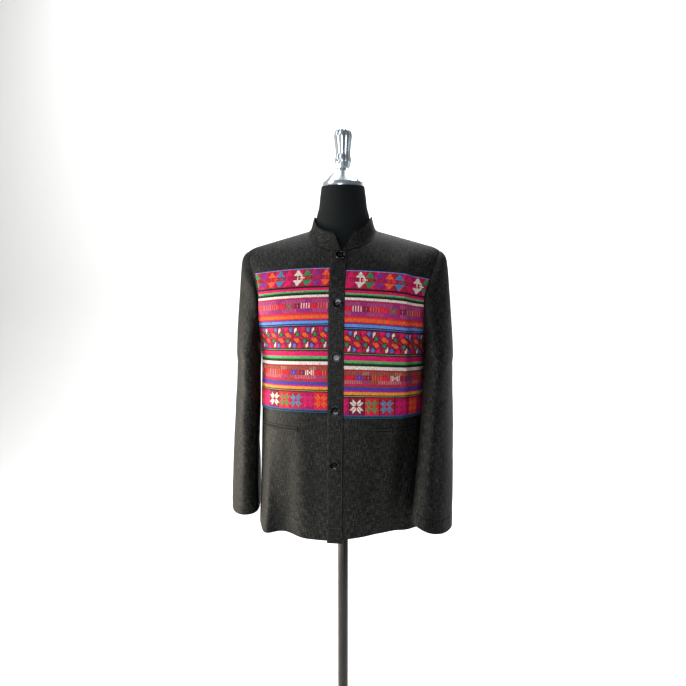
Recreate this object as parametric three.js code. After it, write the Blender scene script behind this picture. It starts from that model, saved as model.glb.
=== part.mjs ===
// Band collar shirt-jacket on a limbless dress form, in millimetres, +Z up.
// The floor is z = 0, the form's pole stands on the Z axis and the shirt's front faces -Y,
// so +X is the wearer's left. Each piece of cloth is a wall of even thickness: its inside
// face lies on one shape worked out below, and its outside face is that face moved out.
import * as THREE from 'three'

const { clamp, degToRad, lerp } = THREE.MathUtils

// ---- cloth -------------------------------------------------------------------------
const CLOTH = 1.5          // shirt cloth, turned and pressed
const COLLAR_CLOTH = 2.4   // the band is two layers and a stiffener
const PLACKET_CLOTH = 2    // folded strip
const PANEL_CLOTH = 1.2    // woven and stitched chest panel
const WELT_CLOTH = 1
const SEAM = 0.3           // clear space between neighbouring pieces

// ---- trunk: half-width and depths of the shirt at each height --------------------------
const TRUNK = [
  { z: 785, side: 200, front: 147, back: 132 },
  { z: 950, side: 194, front: 143, back: 125 },
  { z: 1100, side: 191, front: 134, back: 118 },
  { z: 1225, side: 191, front: 124, back: 118 },
  { z: 1300, side: 206, front: 117, back: 118 },
  { z: 1440, side: 240, front: 112, back: 116 },
]
const SQUARENESS = 2.4     // 2 is an ellipse, more is squarer
const CHEST_Z = 1300       // above this the cloth leans in to the shoulder seam
const FRONT_BOW = 1.6      // how full the cloth stays on its way up to the shoulder
const BACK_BOW = 2

// ---- neck, shoulders and armholes -------------------------------------------------------
const NECK = { halfWidth: 79, sideZ: 1490, frontZ: 1444, backZ: 1482 }
const SHOULDER = { slope: 0.285, roundFromX: 205, roundDrop: 11, roundWidth: 32, tipX: 225 }
const UNDERARM_Z = 1225
const ARMHOLE = [
  { z: 1225, x: 191 },
  { z: 1262, x: 188 },
  { z: 1322, x: 190 },
  { z: 1358, x: 195 },
  { z: 1398, x: 209 },
  { z: 1425, x: 219 },
  { z: 1444, x: 225 },
]

// ---- fronts, placket and chest panels -----------------------------------------------------
// Height of the hem from the middle (0) to the side seam (1). It hangs a little unevenly.
const HEM = {
  right: [
    { at: 0, z: 797 },
    { at: 0.3, z: 797 },
    { at: 0.6, z: 802 },
    { at: 0.87, z: 797 },
    { at: 1, z: 806 },
  ],
  left: [
    { at: 0, z: 798 },
    { at: 0.3, z: 806 },
    { at: 0.5, z: 812 },
    { at: 0.85, z: 814 },
    { at: 1, z: 806 },
  ],
  back: [
    { at: 0, z: 800 },
    { at: 0.45, z: 797 },
    { at: 0.8, z: 801 },
    { at: 1, z: 806 },
  ],
}
const FRONT_EDGE = 14        // each front starts this far from the middle, under the placket
const UNDERLAPS = [-12, 1]   // and the right front runs on past the middle to these places
const PLACKET = { halfWidth: 17.5, bottomZ: 792, belowNeck: 1.5 }
const PANELS = {
  right: { topCentreZ: 1406, topEdgeZ: 1392, bottomCentreZ: 1085, bottomEdgeZ: 1081 },
  left: { topCentreZ: 1401, topEdgeZ: 1381, bottomCentreZ: 1074, bottomEdgeZ: 1070 },
}
const PANEL_INSET = 1.5      // clear of the side seam and the armhole
const COLUMNS = 12           // from the middle to the side
const NECK_COLUMNS = 5       // of which these end on the neckline
const ROWS = { skirt: 5, waist: 3, armhole: 7, yoke: 5 }

// Soft upright folds in each panel, at their depth on the hem. They fade out at topZ.
const FOLDS = {
  right: [
    { x: 0, depth: 3, width: 45, topZ: 1080 },
    { x: 116, depth: -13, width: 28, topZ: 1050 },
    { x: 168, depth: 34, width: 19, topZ: 1040 },
  ],
  left: [
    { x: 0, depth: 3, width: 45, topZ: 1080 },
    { x: 108, depth: -14, width: 32, topZ: 1070 },
    { x: 160, depth: 6, width: 16, topZ: 1060 },
  ],
  back: [
    { x: 40, depth: -7, width: 26, topZ: 1120 },
    { x: 88, depth: 6, width: 24, topZ: 1090 },
    { x: 150, depth: -5, width: 18, topZ: 1060 },
  ],
}
const FOLD_FOOT_Z = 800

// ---- sleeves: sections across each tube, from above the elbow to the hem -------------------
// turn swings the section's front edge in to the body, and rise lifts it towards the body.
const SLEEVE_SECTIONS = {
  right: [
    { z: 1190, x: 228, y: 0, halfWidth: 31, halfDepth: 80, turn: 7, rise: 6 },
    { z: 1100, x: 231, y: -3, halfWidth: 32.5, halfDepth: 76, turn: 10, rise: 2 },
    { z: 1000, x: 236, y: -5, halfWidth: 34.5, halfDepth: 71, turn: 10, rise: 0 },
    { z: 900, x: 240, y: -6, halfWidth: 36, halfDepth: 66, turn: 7, rise: 2 },
    { z: 821, x: 241.5, y: -6, halfWidth: 36.5, halfDepth: 61, turn: 4, rise: 3 },
  ],
  left: [
    { z: 1190, x: 226.5, y: -14, halfWidth: 31.5, halfDepth: 80, turn: 5, rise: 6 },
    { z: 1100, x: 225, y: -32, halfWidth: 33, halfDepth: 76, turn: 10, rise: 6 },
    { z: 1000, x: 223, y: -54, halfWidth: 34, halfDepth: 71, turn: 17, rise: 8 },
    { z: 910, x: 219, y: -80, halfWidth: 36, halfDepth: 66, turn: 23, rise: 11 },
    { z: 836, x: 215, y: -100, halfWidth: 38.5, halfDepth: 62, turn: 27, rise: 17 },
  ],
}
const SLEEVE_SQUARENESS = 2.2
// The sleeve head stands out from the seam, and the cloth under the arm turns out and up.
// Each swells to its full size sooner where its power is larger.
const SLEEVE_HEAD = { fullness: 15, swell: 30, forwardShare: 0.3 }
const UNDERARM_FOLD = { size: 9, outSwell: 6, upSwell: 9 }
const HEAD_ROWS = [0.02, 0.05, 0.11, 0.22, 0.38, 0.58, 0.8, 1]   // how far down from the armhole
const TUBE_ROWS_PER_SECTION = 2
const SLEEVE_HEART = new THREE.Vector3(250, 0, 1330)   // a place inside each sleeve head

// ---- collar ---------------------------------------------------------------------------------
const COLLAR = {
  rise: 40, riseAtSides: 34, leanIn: 10, leanInAtSides: 14, leanInBehind: 3, springOut: 8,
  slantReach: 90,            // how far round from its ends the band's slant is felt
}
const COLLAR_ROWS = [0, 0.12, 0.3, 0.55, 0.8, 1]
const COLLAR_ENDS = {
  right: { x: 5, slant: 11, round: 12, endHeight: 0.82 },
  left: { x: 6.5, slant: 26, round: 16, endHeight: 0.78 },
}

// ---- pockets and buttons --------------------------------------------------------------------
const POCKET = { fromColumn: 2.6, toColumn: 8.8, openingZ: 1045, weltHeight: 5, slit: 1.2 }
const BUTTON = { radius: 11, thickness: 3.4, rim: 2.6, dish: 1 }
const BUTTON_ROWS = [
  { z: 1431, x: 3 },
  { z: 1326, x: 2.5 },
  { z: 1209, x: 1 },
  { z: 1091, x: 0 },
  { z: 970, x: -1 },
]

// ---- dress form and stand -------------------------------------------------------------------
const FORM = [
  { z: 850, side: 150, front: 92, back: 84 },
  { z: 920, side: 164, front: 104, back: 96 },
  { z: 1010, side: 158, front: 100, back: 88 },
  { z: 1110, side: 152, front: 98, back: 88 },
  { z: 1225, side: 168, front: 108, back: 102 },
  { z: 1320, side: 184, front: 110, back: 110 },
  { z: 1400, side: 197, front: 108, back: 110 },
  { z: 1440, side: 193, front: 106, back: 108 },
]
const FORM_BELOW_SHIRT = 4   // the form's shoulders lie this far under the shirt's
const FORM_BOTTOM = { z: 842, inset: 10 }
const FORM_NECK = [
  { z: 1400, halfWidth: 52, halfDepth: 40 },
  { z: 1450, halfWidth: 62, halfDepth: 49 },
  { z: 1495, halfWidth: 64, halfDepth: 49 },
  { z: 1526, halfWidth: 61.5, halfDepth: 49 },
  { z: 1545, halfWidth: 56.5, halfDepth: 49.5 },
  { z: 1563, halfWidth: 54.5, halfDepth: 50 },
  { z: 1593, halfWidth: 50.5, halfDepth: 50.5 },
]
const FORM_HEIGHTS = [
  850, 885, 920, 965, 1010, 1060, 1110, 1165, 1225, 1270, 1320, 1360, 1395, 1420, 1438, 1452,
  1464, 1474, 1484, 1496, 1512, 1528, 1545, 1567, 1593,
]
const FORM_SIDES = 40
const CAP = [
  { r: 49, z: 1593.3 },
  { r: 49, z: 1603 },
  { r: 45.5, z: 1608 },
  { r: 37, z: 1617 },
  { r: 22, z: 1627 },
  { r: 16.5, z: 1631 },
  { r: 15.5, z: 1635 },
]
const FINIAL = [
  { r: 15.5, z: 1635.3, flute: 0 },
  { r: 17.5, z: 1644, flute: 0.2 },
  { r: 18.3, z: 1654, flute: 0.6 },
  { r: 16.2, z: 1664, flute: 1.1 },
  { r: 16.3, z: 1673, flute: 1.2 },
  { r: 17.6, z: 1684, flute: 1.3 },
  { r: 19.4, z: 1699, flute: 1.3 },
  { r: 20.4, z: 1709, flute: 1.1 },
  { r: 18, z: 1720, flute: 0.7 },
  { r: 11, z: 1727, flute: 0.2 },
]
const FLUTES = 8
const FINIAL_TOP = 1729.5
const POLE = { radius: 12.5, sides: 24 }
const BASE = { radius: 175, thickness: 10, topRadius: 170, sides: 48 }

// ---- small tools ------------------------------------------------------------------------------

// Smooth value of one column of a table where its key column, z or another, is at a value.
// Past the table's ends it keeps the end value.
function along(rows, column, value, key = 'z') {
  const upward = rows[0][key] < rows[rows.length - 1][key] ? rows : [...rows].reverse()
  const last = upward.length - 1
  if (value <= upward[0][key]) return upward[0][column]
  if (value >= upward[last][key]) return upward[last][column]
  const k = upward.findIndex((row, i) => i < last && value <= upward[i + 1][key])
  const slope = (i) => {
    const a = upward[Math.max(i - 1, 0)]
    const b = upward[Math.min(i + 1, last)]
    return (b[column] - a[column]) / (b[key] - a[key])
  }
  const [low, high] = [upward[k], upward[k + 1]]
  const step = high[key] - low[key]
  const f = (value - low[key]) / step
  const rise = high[column] - low[column]
  const bend = (1 - f) * (slope(k) * step - rise) - f * (slope(k + 1) * step - rise)
  return low[column] + f * rise + f * (1 - f) * bend
}

// A closed solid between two grids of points that match one to one. A grid that wraps is a
// tube, open at its first and last rows.
function wall(inside, outside, wraps = false) {
  const rows = inside.length
  const columns = inside[0].length
  const points = [...inside.flat(), ...outside.flat()]
  const at = (layer, r, c) => layer * rows * columns + r * columns + (c % columns)
  const faces = []
  const quad = (a, b, c, d) => faces.push(a, b, c, a, c, d)
  const spans = wraps ? columns : columns - 1
  for (let r = 0; r < rows - 1; r++) {
    for (let c = 0; c < spans; c++) {
      quad(at(1, r, c), at(1, r, c + 1), at(1, r + 1, c + 1), at(1, r + 1, c))
      quad(at(0, r, c), at(0, r + 1, c), at(0, r + 1, c + 1), at(0, r, c + 1))
    }
  }
  for (let c = 0; c < spans; c++) {
    const top = rows - 1
    quad(at(0, 0, c), at(0, 0, c + 1), at(1, 0, c + 1), at(1, 0, c))
    quad(at(0, top, c), at(1, top, c), at(1, top, c + 1), at(0, top, c + 1))
  }
  if (!wraps) {
    const end = columns - 1
    for (let r = 0; r < rows - 1; r++) {
      quad(at(0, r, 0), at(1, r, 0), at(1, r + 1, 0), at(0, r + 1, 0))
      quad(at(0, r, end), at(0, r + 1, end), at(1, r + 1, end), at(1, r, end))
    }
  }
  return facingOut(points, faces)
}

// A closed solid through level rings, with a flat lid on its first and last ring.
function stack(rings) {
  const n = rings[0].length
  const points = rings.flat()
  const faces = []
  for (let r = 0; r < rings.length - 1; r++) {
    for (let c = 0; c < n; c++) {
      const [a, b] = [r * n + c, r * n + ((c + 1) % n)]
      faces.push(a, b, b + n, a, b + n, a + n)
    }
  }
  const top = (rings.length - 1) * n
  for (let c = 1; c < n - 1; c++) faces.push(0, c + 1, c, top, top + c, top + c + 1)
  return facingOut(points, faces)
}

// The geometry of a closed solid, turned inside out if its faces point inwards.
function facingOut(points, faces) {
  let volume = 0
  for (let i = 0; i < faces.length; i += 3) {
    const [a, b, c] = [points[faces[i]], points[faces[i + 1]], points[faces[i + 2]]]
    volume += a.dot(b.clone().cross(c))
  }
  const index = volume < 0 ? [...faces].reverse() : faces
  const geometry = new THREE.BufferGeometry().setFromPoints(points)
  geometry.setIndex(index)
  geometry.computeVertexNormals()
  return geometry
}

const ring = (count, place) =>
  Array.from({ length: count }, (unused, i) => place((2 * Math.PI * i) / count))

// A round solid from a table of radii and heights.
function turned(rows, sides, flutes = 0) {
  return stack(rows.map(({ r, z, flute = 0 }) => ring(sides, (angle) => {
    const radius = r + flute * Math.cos(flutes * angle)
    return new THREE.Vector3(radius * Math.cos(angle), radius * Math.sin(angle), z)
  })))
}

// ---- the shape of the trunk -------------------------------------------------------------------
const FACES = {
  right: { sign: -1, reach: 'front', bow: FRONT_BOW, folds: FOLDS.right },
  left: { sign: -1, reach: 'front', bow: FRONT_BOW, folds: FOLDS.left },
  back: { sign: 1, reach: 'back', bow: BACK_BOW, folds: FOLDS.back },
}

// The shoulder line falls evenly from the neck and rounds down towards its tip.
function shoulderZ(x) {
  const { slope, roundFromX, roundWidth, roundDrop } = SHOULDER
  const round = Math.max(0, (Math.abs(x) - roundFromX) / roundWidth) ** 2
  return NECK.sideZ - (Math.abs(x) - NECK.halfWidth) * slope - roundDrop * round
}
const SHOULDER_TIP = { x: SHOULDER.tipX, z: shoulderZ(SHOULDER.tipX) }

function foldDepth(x, z, folds) {
  let depth = 0
  for (const fold of folds) {
    const fade = clamp((fold.topZ - z) / (fold.topZ - FOLD_FOOT_Z), 0, 1)
    depth += fold.depth * fade * Math.exp(-(((Math.abs(x) - fold.x) / fold.width) ** 2))
  }
  return depth
}

// How far the cloth lies in front of (or behind) the shoulder line at a place x, z.
function depthAt(x, z, face) {
  const side = along(TRUNK, 'side', z)
  const round = (1 - Math.min(1, Math.abs(x) / side) ** SQUARENESS) ** (1 / SQUARENESS)
  const climb = clamp((z - CHEST_Z) / (shoulderZ(x) - CHEST_Z), 0, 1)
  const lean = (1 - climb ** face.bow) ** (1 / face.bow)
  return (along(TRUNK, face.reach, z) + foldDepth(x, z, face.folds)) * round * lean
}

// The way out of the cloth at x, z. It is measured a hair inside the side and shoulder seams.
function outwardAt(x, z, face) {
  const hair = 0.02
  const [px, pz] = [x * 0.9995, z - 2 * hair]
  const across = (depthAt(px + hair, pz, face) - depthAt(px - hair, pz, face)) / (2 * hair)
  const up = (depthAt(px, pz + hair, face) - depthAt(px, pz - hair, face)) / (2 * hair)
  return new THREE.Vector3(-across, face.sign, -up).normalize()
}

function trunkPoint(x, z, face, offset) {
  const point = new THREE.Vector3(x, face.sign * (depthAt(x, z, face) + SEAM / 2), z)
  return point.addScaledVector(outwardAt(x, z, face), offset)
}

// Half-width of the fronts and the back: to the side seam, then to the armhole.
const edgeX = (z) => along(z < UNDERARM_Z ? TRUNK : ARMHOLE, z < UNDERARM_Z ? 'side' : 'x', z)

// The armhole is spaced as an oval: 0 is the underarm and half a turn is the shoulder tip.
const armholeHeight = SHOULDER_TIP.z - UNDERARM_Z
const armholeZ = (turn) => UNDERARM_Z + (armholeHeight * (1 - Math.cos(turn))) / 2
const armholeTurn = (z) => Math.acos(clamp(1 - (2 * (z - UNDERARM_Z)) / armholeHeight, -1, 1))

// Heights of the rows at the middle and at the outer edge, from the hem to the chest line.
function rowHeights(panel, hem) {
  const rows = []
  for (let i = 0; i < ROWS.skirt; i++) {
    const f = i / ROWS.skirt
    const edge = lerp(along(hem, 'z', 1, 'at'), panel.bottomEdgeZ, f)
    rows.push({ centre: panel.bottomCentreZ, edge, hemShare: 1 - f })
  }
  const centreAt = (edge) => lerp(panel.bottomCentreZ, panel.topCentreZ,
    (edge - panel.bottomEdgeZ) / (panel.topEdgeZ - panel.bottomEdgeZ))
  for (let i = 0; i < ROWS.waist; i++) {
    const edge = lerp(panel.bottomEdgeZ, UNDERARM_Z, i / ROWS.waist)
    rows.push({ centre: centreAt(edge), edge, hemShare: 0 })
  }
  for (let i = 0; i <= ROWS.armhole; i++) {
    const edge = armholeZ((armholeTurn(panel.topEdgeZ) * i) / ROWS.armhole)
    rows.push({ centre: centreAt(edge), edge, hemShare: 0 })
  }
  return rows
}

// Column places across a front or half a back, as x, z pairs for each row up to the chest
// line, then blended up to the neckline and the shoulder seam.
function trunkPlaces({ firstX, panel, hem, neckZ, underlaps = [] }) {
  const steps = Array.from({ length: COLUMNS + 1 }, (unused, i) => i / COLUMNS)
  const spread = (s) => Math.sin((s * Math.PI) / 2) ** (2 / SQUARENESS)
  const level = ({ centre, edge, hemShare }) => {
    const reach = edgeX(edge)
    const place = (x) => {
      const above = lerp(hemShare ? panel.bottomEdgeZ : edge, centre, 1 - (x / reach) ** 2)
      return { x, z: lerp(above, along(hem, 'z', Math.abs(x) / reach, 'at'), hemShare) }
    }
    return [...underlaps.map(place), ...steps.map((s) => place(lerp(firstX, reach, spread(s))))]
  }
  const neckPlace = (x) => ({
    x, z: lerp(NECK.sideZ, neckZ, Math.sqrt(1 - Math.min(1, Math.abs(x) / NECK.halfWidth) ** 2)),
  })
  const first = Math.asin(firstX / NECK.halfWidth)
  const top = steps.map((s, i) => {
    if (i <= NECK_COLUMNS) {
      return neckPlace(NECK.halfWidth * Math.sin(lerp(first, Math.PI / 2, i / NECK_COLUMNS)))
    }
    const x = lerp(NECK.halfWidth, SHOULDER_TIP.x, (i - NECK_COLUMNS) / (COLUMNS - NECK_COLUMNS))
    return { x, z: shoulderZ(x) }
  })
  top.unshift(...underlaps.map(neckPlace))
  const heights = rowHeights(panel, hem)
  const rows = heights.map(level)
  const chest = rows[rows.length - 1]
  const chestTurn = armholeTurn(panel.topEdgeZ)
  for (let i = 1; i <= ROWS.yoke; i++) {
    const f = i / ROWS.yoke
    const edgeZ = armholeZ(lerp(chestTurn, Math.PI, f))
    const outer = { x: edgeX(edgeZ), z: edgeZ }
    const end = chest.length - 1
    const straight = { x: lerp(chest[end].x, top[end].x, f), z: lerp(chest[end].z, top[end].z, f) }
    rows.push(chest.map((place, c) => {
      const pull = (c / end) ** 2
      return {
        x: lerp(place.x, top[c].x, f) + pull * (outer.x - straight.x),
        z: lerp(place.z, top[c].z, f) + pull * (outer.z - straight.z),
      }
    }))
  }
  return rows
}

const lift = (places, side, face, offset) =>
  places.map((row) => row.map(({ x, z }) => {
    const point = trunkPoint(x, z, face, offset)
    point.x *= side
    return point
  }))

// ---- fronts and back ------------------------------------------------------------------------
const SIDES = { right: -1, left: 1, back: 1 }   // the wearer's right is at -X
const places = {
  right: trunkPlaces({
    firstX: FRONT_EDGE, panel: PANELS.right, hem: HEM.right, neckZ: NECK.frontZ,
    underlaps: UNDERLAPS,
  }),
  left: trunkPlaces({
    firstX: FRONT_EDGE, panel: PANELS.left, hem: HEM.left, neckZ: NECK.frontZ,
  }),
}
const halfBack = trunkPlaces({
  firstX: 0, panel: PANELS.right, hem: HEM.back, neckZ: NECK.backZ,
})
places.back = halfBack.map((row) => [
  ...row.slice(1).reverse().map(({ x, z }) => ({ x: -x, z })),
  ...row,
])

const clothWall = (rows, side, face, from, thickness) =>
  wall(lift(rows, side, face, from), lift(rows, side, face, from + thickness))

const trunkGeometry = (name) => clothWall(places[name], SIDES[name], FACES[name], 0, CLOTH)

// Laid on a front, from the placket to just short of the side seam and the armhole.
function panelGeometry(name) {
  const from = ROWS.skirt
  const to = ROWS.skirt + ROWS.waist + ROWS.armhole
  const rows = places[name].slice(from, to + 1).map((row) => row.slice(-(COLUMNS + 1)))
  const layer = (offset) => lift(rows, SIDES[name], FACES[name], offset).map((points) => {
    const [first, second] = points
    const [beforeLast, last] = points.slice(-2)
    const start = PLACKET.halfWidth + 2 * SEAM
    first.lerp(second, (start - Math.abs(first.x)) / Math.abs(second.x - first.x))
    last.lerp(beforeLast, PANEL_INSET / last.distanceTo(beforeLast))
    return points
  })
  return wall(layer(CLOTH + SEAM), layer(CLOTH + SEAM + PANEL_CLOTH))
}

// The strip of the left front that covers the opening. The buttons come through it.
function placketGeometry() {
  const rows = places.right.map(([under, middle, first]) => [
    { x: -PLACKET.halfWidth, z: first.z },
    ...[first, middle, under].map(({ x, z }) => ({ x: -x, z })),
    { x: PLACKET.halfWidth, z: under.z },
  ])
  for (const place of rows[0]) place.z = PLACKET.bottomZ
  for (const place of rows[rows.length - 1]) place.z -= PLACKET.belowNeck
  return clothWall(rows, 1, FACES.right, CLOTH + SEAM, PLACKET_CLOTH)
}

// ---- sleeves ----------------------------------------------------------------------------------

// The armhole from the shoulder tip down the front, under the arm and up the back, at the
// outside face of the cloth and just clear of it.
function armholeLoop(name) {
  const side = SIDES[name]
  const first = ROWS.skirt + ROWS.waist
  const frontEdge = places[name].slice(first).map((row) => row[row.length - 1])
  const backEdge = halfBack.slice(first).map((row) => row[row.length - 1])
  const stations = [
    ...frontEdge.map((place) => ({ place, face: FACES[name] })).reverse(),
    ...backEdge.slice(1, -1).map((place) => ({ place, face: FACES.back })),
  ]
  const outer = stations.map(({ place, face }) => trunkPoint(place.x, place.z, face, CLOTH))
  const underarm = frontEdge.length - 1
  outer[0].y = 0
  outer[underarm].y = 0
  return outer.map((point, i) => {
    const { place, face } = stations[i]
    const before = outer[(i + outer.length - 1) % outer.length]
    const after = outer[(i + 1) % outer.length]
    const away = after.clone().sub(before).cross(outwardAt(place.x, place.z, face)).normalize()
    if (away.dot(SLEEVE_HEART.clone().sub(point)) < 0) away.negate()
    const turn = armholeTurn(place.z)
    const angle = Math.PI + face.sign * turn
    const moved = point.clone().addScaledVector(away, 1.5 * SEAM)
    const under = Math.max(0, -Math.cos(angle))
    const inward = away.multiplyScalar(under)
      .addScaledVector(outwardAt(place.x, place.z, face), under - 1).normalize()
    const lined = moved.clone().addScaledVector(inward, CLOTH)
    return { angle, point: moved.setX(side * moved.x), inside: lined.setX(side * lined.x) }
  })
}

const power = (value, exponent) => Math.sign(value) * Math.abs(value) ** exponent

// One section of the tube; angle 0 is its outer edge and a quarter turn on is its front.
function sleeveSection(sections, z, side, angle) {
  const read = (column) => along(sections, column, z)
  const out = read('halfWidth') * power(Math.cos(angle), 2 / SLEEVE_SQUARENESS)
  const forward = read('halfDepth') * power(Math.sin(angle), 2 / SLEEVE_SQUARENESS)
  const turn = degToRad(read('turn'))
  const x = out * Math.cos(turn) - forward * Math.sin(turn)
  const y = -out * Math.sin(turn) - forward * Math.cos(turn)
  const rise = (-read('rise') * out) / read('halfWidth')
  return new THREE.Vector3(side * (read('x') + x), read('y') + y, z + rise)
}

function sleeveRings(name, loop) {
  const side = SIDES[name]
  const sections = SLEEVE_SECTIONS[name]
  const rings = [loop.map(({ point }) => point)]
  for (const f of HEAD_ROWS) {
    const swell = (power) => 1 - (1 - f) ** power
    const full = SLEEVE_HEAD.fullness * swell(SLEEVE_HEAD.swell) * Math.sqrt(1 - f)
    rings.push(loop.map(({ angle, point }) => {
      const below = sleeveSection(sections, sections[0].z, side, angle)
      const at = point.clone().lerp(below, f)
      const under = UNDERARM_FOLD.size * Math.sqrt(Math.max(0, -Math.cos(angle))) * (1 - f)
      const out = full * Math.max(0, Math.cos(angle)) + under * swell(UNDERARM_FOLD.outSwell)
      at.x += side * out
      at.y -= SLEEVE_HEAD.forwardShare * full * Math.sin(angle)
      at.z += under * swell(UNDERARM_FOLD.upSwell)
      return at
    }))
  }
  for (let k = 1; k < sections.length; k++) {
    for (let i = 1; i <= TUBE_ROWS_PER_SECTION; i++) {
      const z = lerp(sections[k - 1].z, sections[k].z, i / TUBE_ROWS_PER_SECTION)
      rings.push(loop.map(({ angle }) => sleeveSection(sections, z, side, angle)))
    }
  }
  return rings
}

// The rings are the outside face; the inside face is moved in along the normals.
function sleeveGeometry(name) {
  const loop = armholeLoop(name)
  const rings = sleeveRings(name, loop)
  const count = rings[0].length
  const heart = (row) => row.reduce((sum, p) => sum.add(p), new THREE.Vector3())
    .divideScalar(row.length)
  const inside = rings.map((row, r) => row.map((point, c) => {
    const round = row[(c + 1) % count].clone().sub(row[(c + count - 1) % count])
    const down = rings[Math.min(r + 1, rings.length - 1)][c].clone()
      .sub(rings[Math.max(r - 1, 0)][c])
    const inward = round.cross(down).normalize()
    if (inward.dot(heart(row).sub(point)) < 0) inward.negate()
    return point.clone().addScaledVector(inward, CLOTH)
  }))
  inside[0] = loop.map((station) => station.inside)
  return wall(inside, rings, true)
}

// ---- collar -----------------------------------------------------------------------------------

// The neckline at the inside face, from the right front's end, round the back, to the left's.
function necklineFrames() {
  const station = (x, z, face) => ({ x, z, face })
  const topRow = (name) => places[name][places[name].length - 1]
  const right = topRow('right').slice(0, NECK_COLUMNS + UNDERLAPS.length)
    .map(({ x, z }) => station(-x, z, FACES.right))
  const left = topRow('left').slice(0, NECK_COLUMNS).reverse()
    .map(({ x, z }) => station(x, z, FACES.left))
  const back = topRow('back').slice(COLUMNS - NECK_COLUMNS, COLUMNS + NECK_COLUMNS + 1)
    .map(({ x, z }) => station(x, z, FACES.back))
  const [underEnd, middle] = right
  const endAt = (x) => {
    const f = (x - underEnd.x) / (middle.x - underEnd.x)
    return station(x, lerp(underEnd.z, middle.z, f), FACES.right)
  }
  const stations = [
    endAt(COLLAR_ENDS.right.x), ...right.slice(1), ...back, ...left,
    endAt(COLLAR_ENDS.left.x),
  ]
  const points = stations.map(({ x, z, face }) => {
    const point = trunkPoint(x, z, face, 0)
    if (Math.abs(x) > NECK.halfWidth - 0.01) point.y = 0
    return point
  })
  return points.map((point, i) => {
    const { x, z, face } = stations[i]
    const before = points[Math.max(i - 1, 0)]
    const after = points[Math.min(i + 1, points.length - 1)]
    const inward = after.clone().sub(before).cross(outwardAt(x, z, face)).normalize()
    const above = new THREE.Vector3(0, 0, NECK.sideZ + COLLAR.rise)
    if (inward.dot(above.sub(point)) < 0) inward.negate()
    return { point: point.clone().addScaledVector(inward, SEAM), inward }
  })
}

function collarGeometry() {
  const frames = necklineFrames()
  const lastFrame = frames.length - 1
  const frameAt = (k) => {
    const low = clamp(Math.floor(k), 0, lastFrame - 1)
    const f = k - low
    return {
      point: frames[low].point.clone().lerp(frames[low + 1].point, f),
      inward: frames[low].inward.clone().lerp(frames[low + 1].inward, f).normalize(),
    }
  }
  // Distances along the neckline, so that the ends can be slanted and rounded in millimetres.
  const run = [0]
  for (let i = 1; i <= lastFrame; i++) {
    run.push(run[i - 1] + frames[i].point.distanceTo(frames[i - 1].point))
  }
  const total = run[lastFrame]
  const indexAt = (distance) => {
    const d = clamp(distance, 0, total)
    const k = Math.max(0, run.findIndex((value, i) => i < lastFrame && d <= run[i + 1]))
    return k + (d - run[k]) / (run[k + 1] - run[k])
  }
  const { right, left } = COLLAR_ENDS
  const columns = [
    0, 0.3 * right.round, 0.7 * right.round, ...run.slice(1, -1),
    total - 0.7 * left.round, total - 0.3 * left.round, total,
  ].sort((a, b) => a - b)
  const shape = (distance, v) => {
    const nearRight = distance < total / 2
    const end = nearRight ? right : left
    const fromEnd = nearRight ? distance : total - distance
    const slide = end.slant * v * Math.max(0, 1 - fromEnd / COLLAR.slantReach)
    const corner = Math.max(0, 1 - fromEnd / end.round) ** 2
    const height = 1 - (1 - end.endHeight) * corner
    const frame = frameAt(indexAt(distance + (nearRight ? slide : -slide)))
    const radial = new THREE.Vector3(frame.point.x, frame.point.y, 0).normalize()
    const spring = frame.point.clone().addScaledVector(frame.inward, COLLAR.springOut)
    const sideways = Math.abs(radial.x) ** 2
    const level = frame.point.y < 0 ? COLLAR.leanIn : COLLAR.leanInBehind
    const lean = lerp(level, COLLAR.leanInAtSides, sideways)
    const top = frame.point.clone().addScaledVector(radial, -lean)
    top.z += lerp(COLLAR.rise, COLLAR.riseAtSides, sideways)
    const w = v * height
    const low = frame.point.clone().lerp(spring, w)
    return low.lerp(spring.clone().lerp(top, w), w)
  }
  const inside = COLLAR_ROWS.map((v) => columns.map((distance) => shape(distance, v)))
  const outside = COLLAR_ROWS.map((v, r) => columns.map((distance, c) => {
    const row = inside[r]
    const across = row[Math.min(c + 1, row.length - 1)].clone().sub(row[Math.max(c - 1, 0)])
    const above = v < 1 ? shape(distance, v + 0.01) : inside[r][c].clone()
    const below = v < 1 ? inside[r][c] : shape(distance, v - 0.01)
    const out = across.cross(above.clone().sub(below)).normalize()
    if (out.x * row[c].x + out.y * row[c].y < 0) out.negate()
    return row[c].clone().addScaledVector(out, COLLAR_CLOTH)
  }))
  return wall(inside, outside)
}

// ---- pockets and buttons ----------------------------------------------------------------------

// A strip laid on a front between two heights, on the straight lines between the front's rows.
function weltGeometry(name, lowZ, highZ) {
  const rows = places[name].map((row) => row.slice(-(COLUMNS + 1)))
  const columns = [POCKET.fromColumn]
  for (let c = Math.ceil(POCKET.fromColumn); c <= POCKET.toColumn; c++) columns.push(c)
  columns.push(POCKET.toColumn)
  const layer = (offset) => {
    const lifted = lift(rows, SIDES[name], FACES[name], offset)
    const cornerAt = (r, column) => {
      const c = Math.min(Math.floor(column), COLUMNS - 1)
      return lifted[r][c].clone().lerp(lifted[r][c + 1], column - c)
    }
    return [lowZ, highZ].map((z) => columns.map((column) => {
      const r = lifted.findIndex((row, i) => cornerAt(i + 1, column).z > z)
      const [below, above] = [cornerAt(r, column), cornerAt(r + 1, column)]
      return below.lerp(above, (z - below.z) / (above.z - below.z))
    }))
  }
  return wall(layer(CLOTH + 1.5 * SEAM), layer(CLOTH + 1.5 * SEAM + WELT_CLOTH))
}

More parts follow.
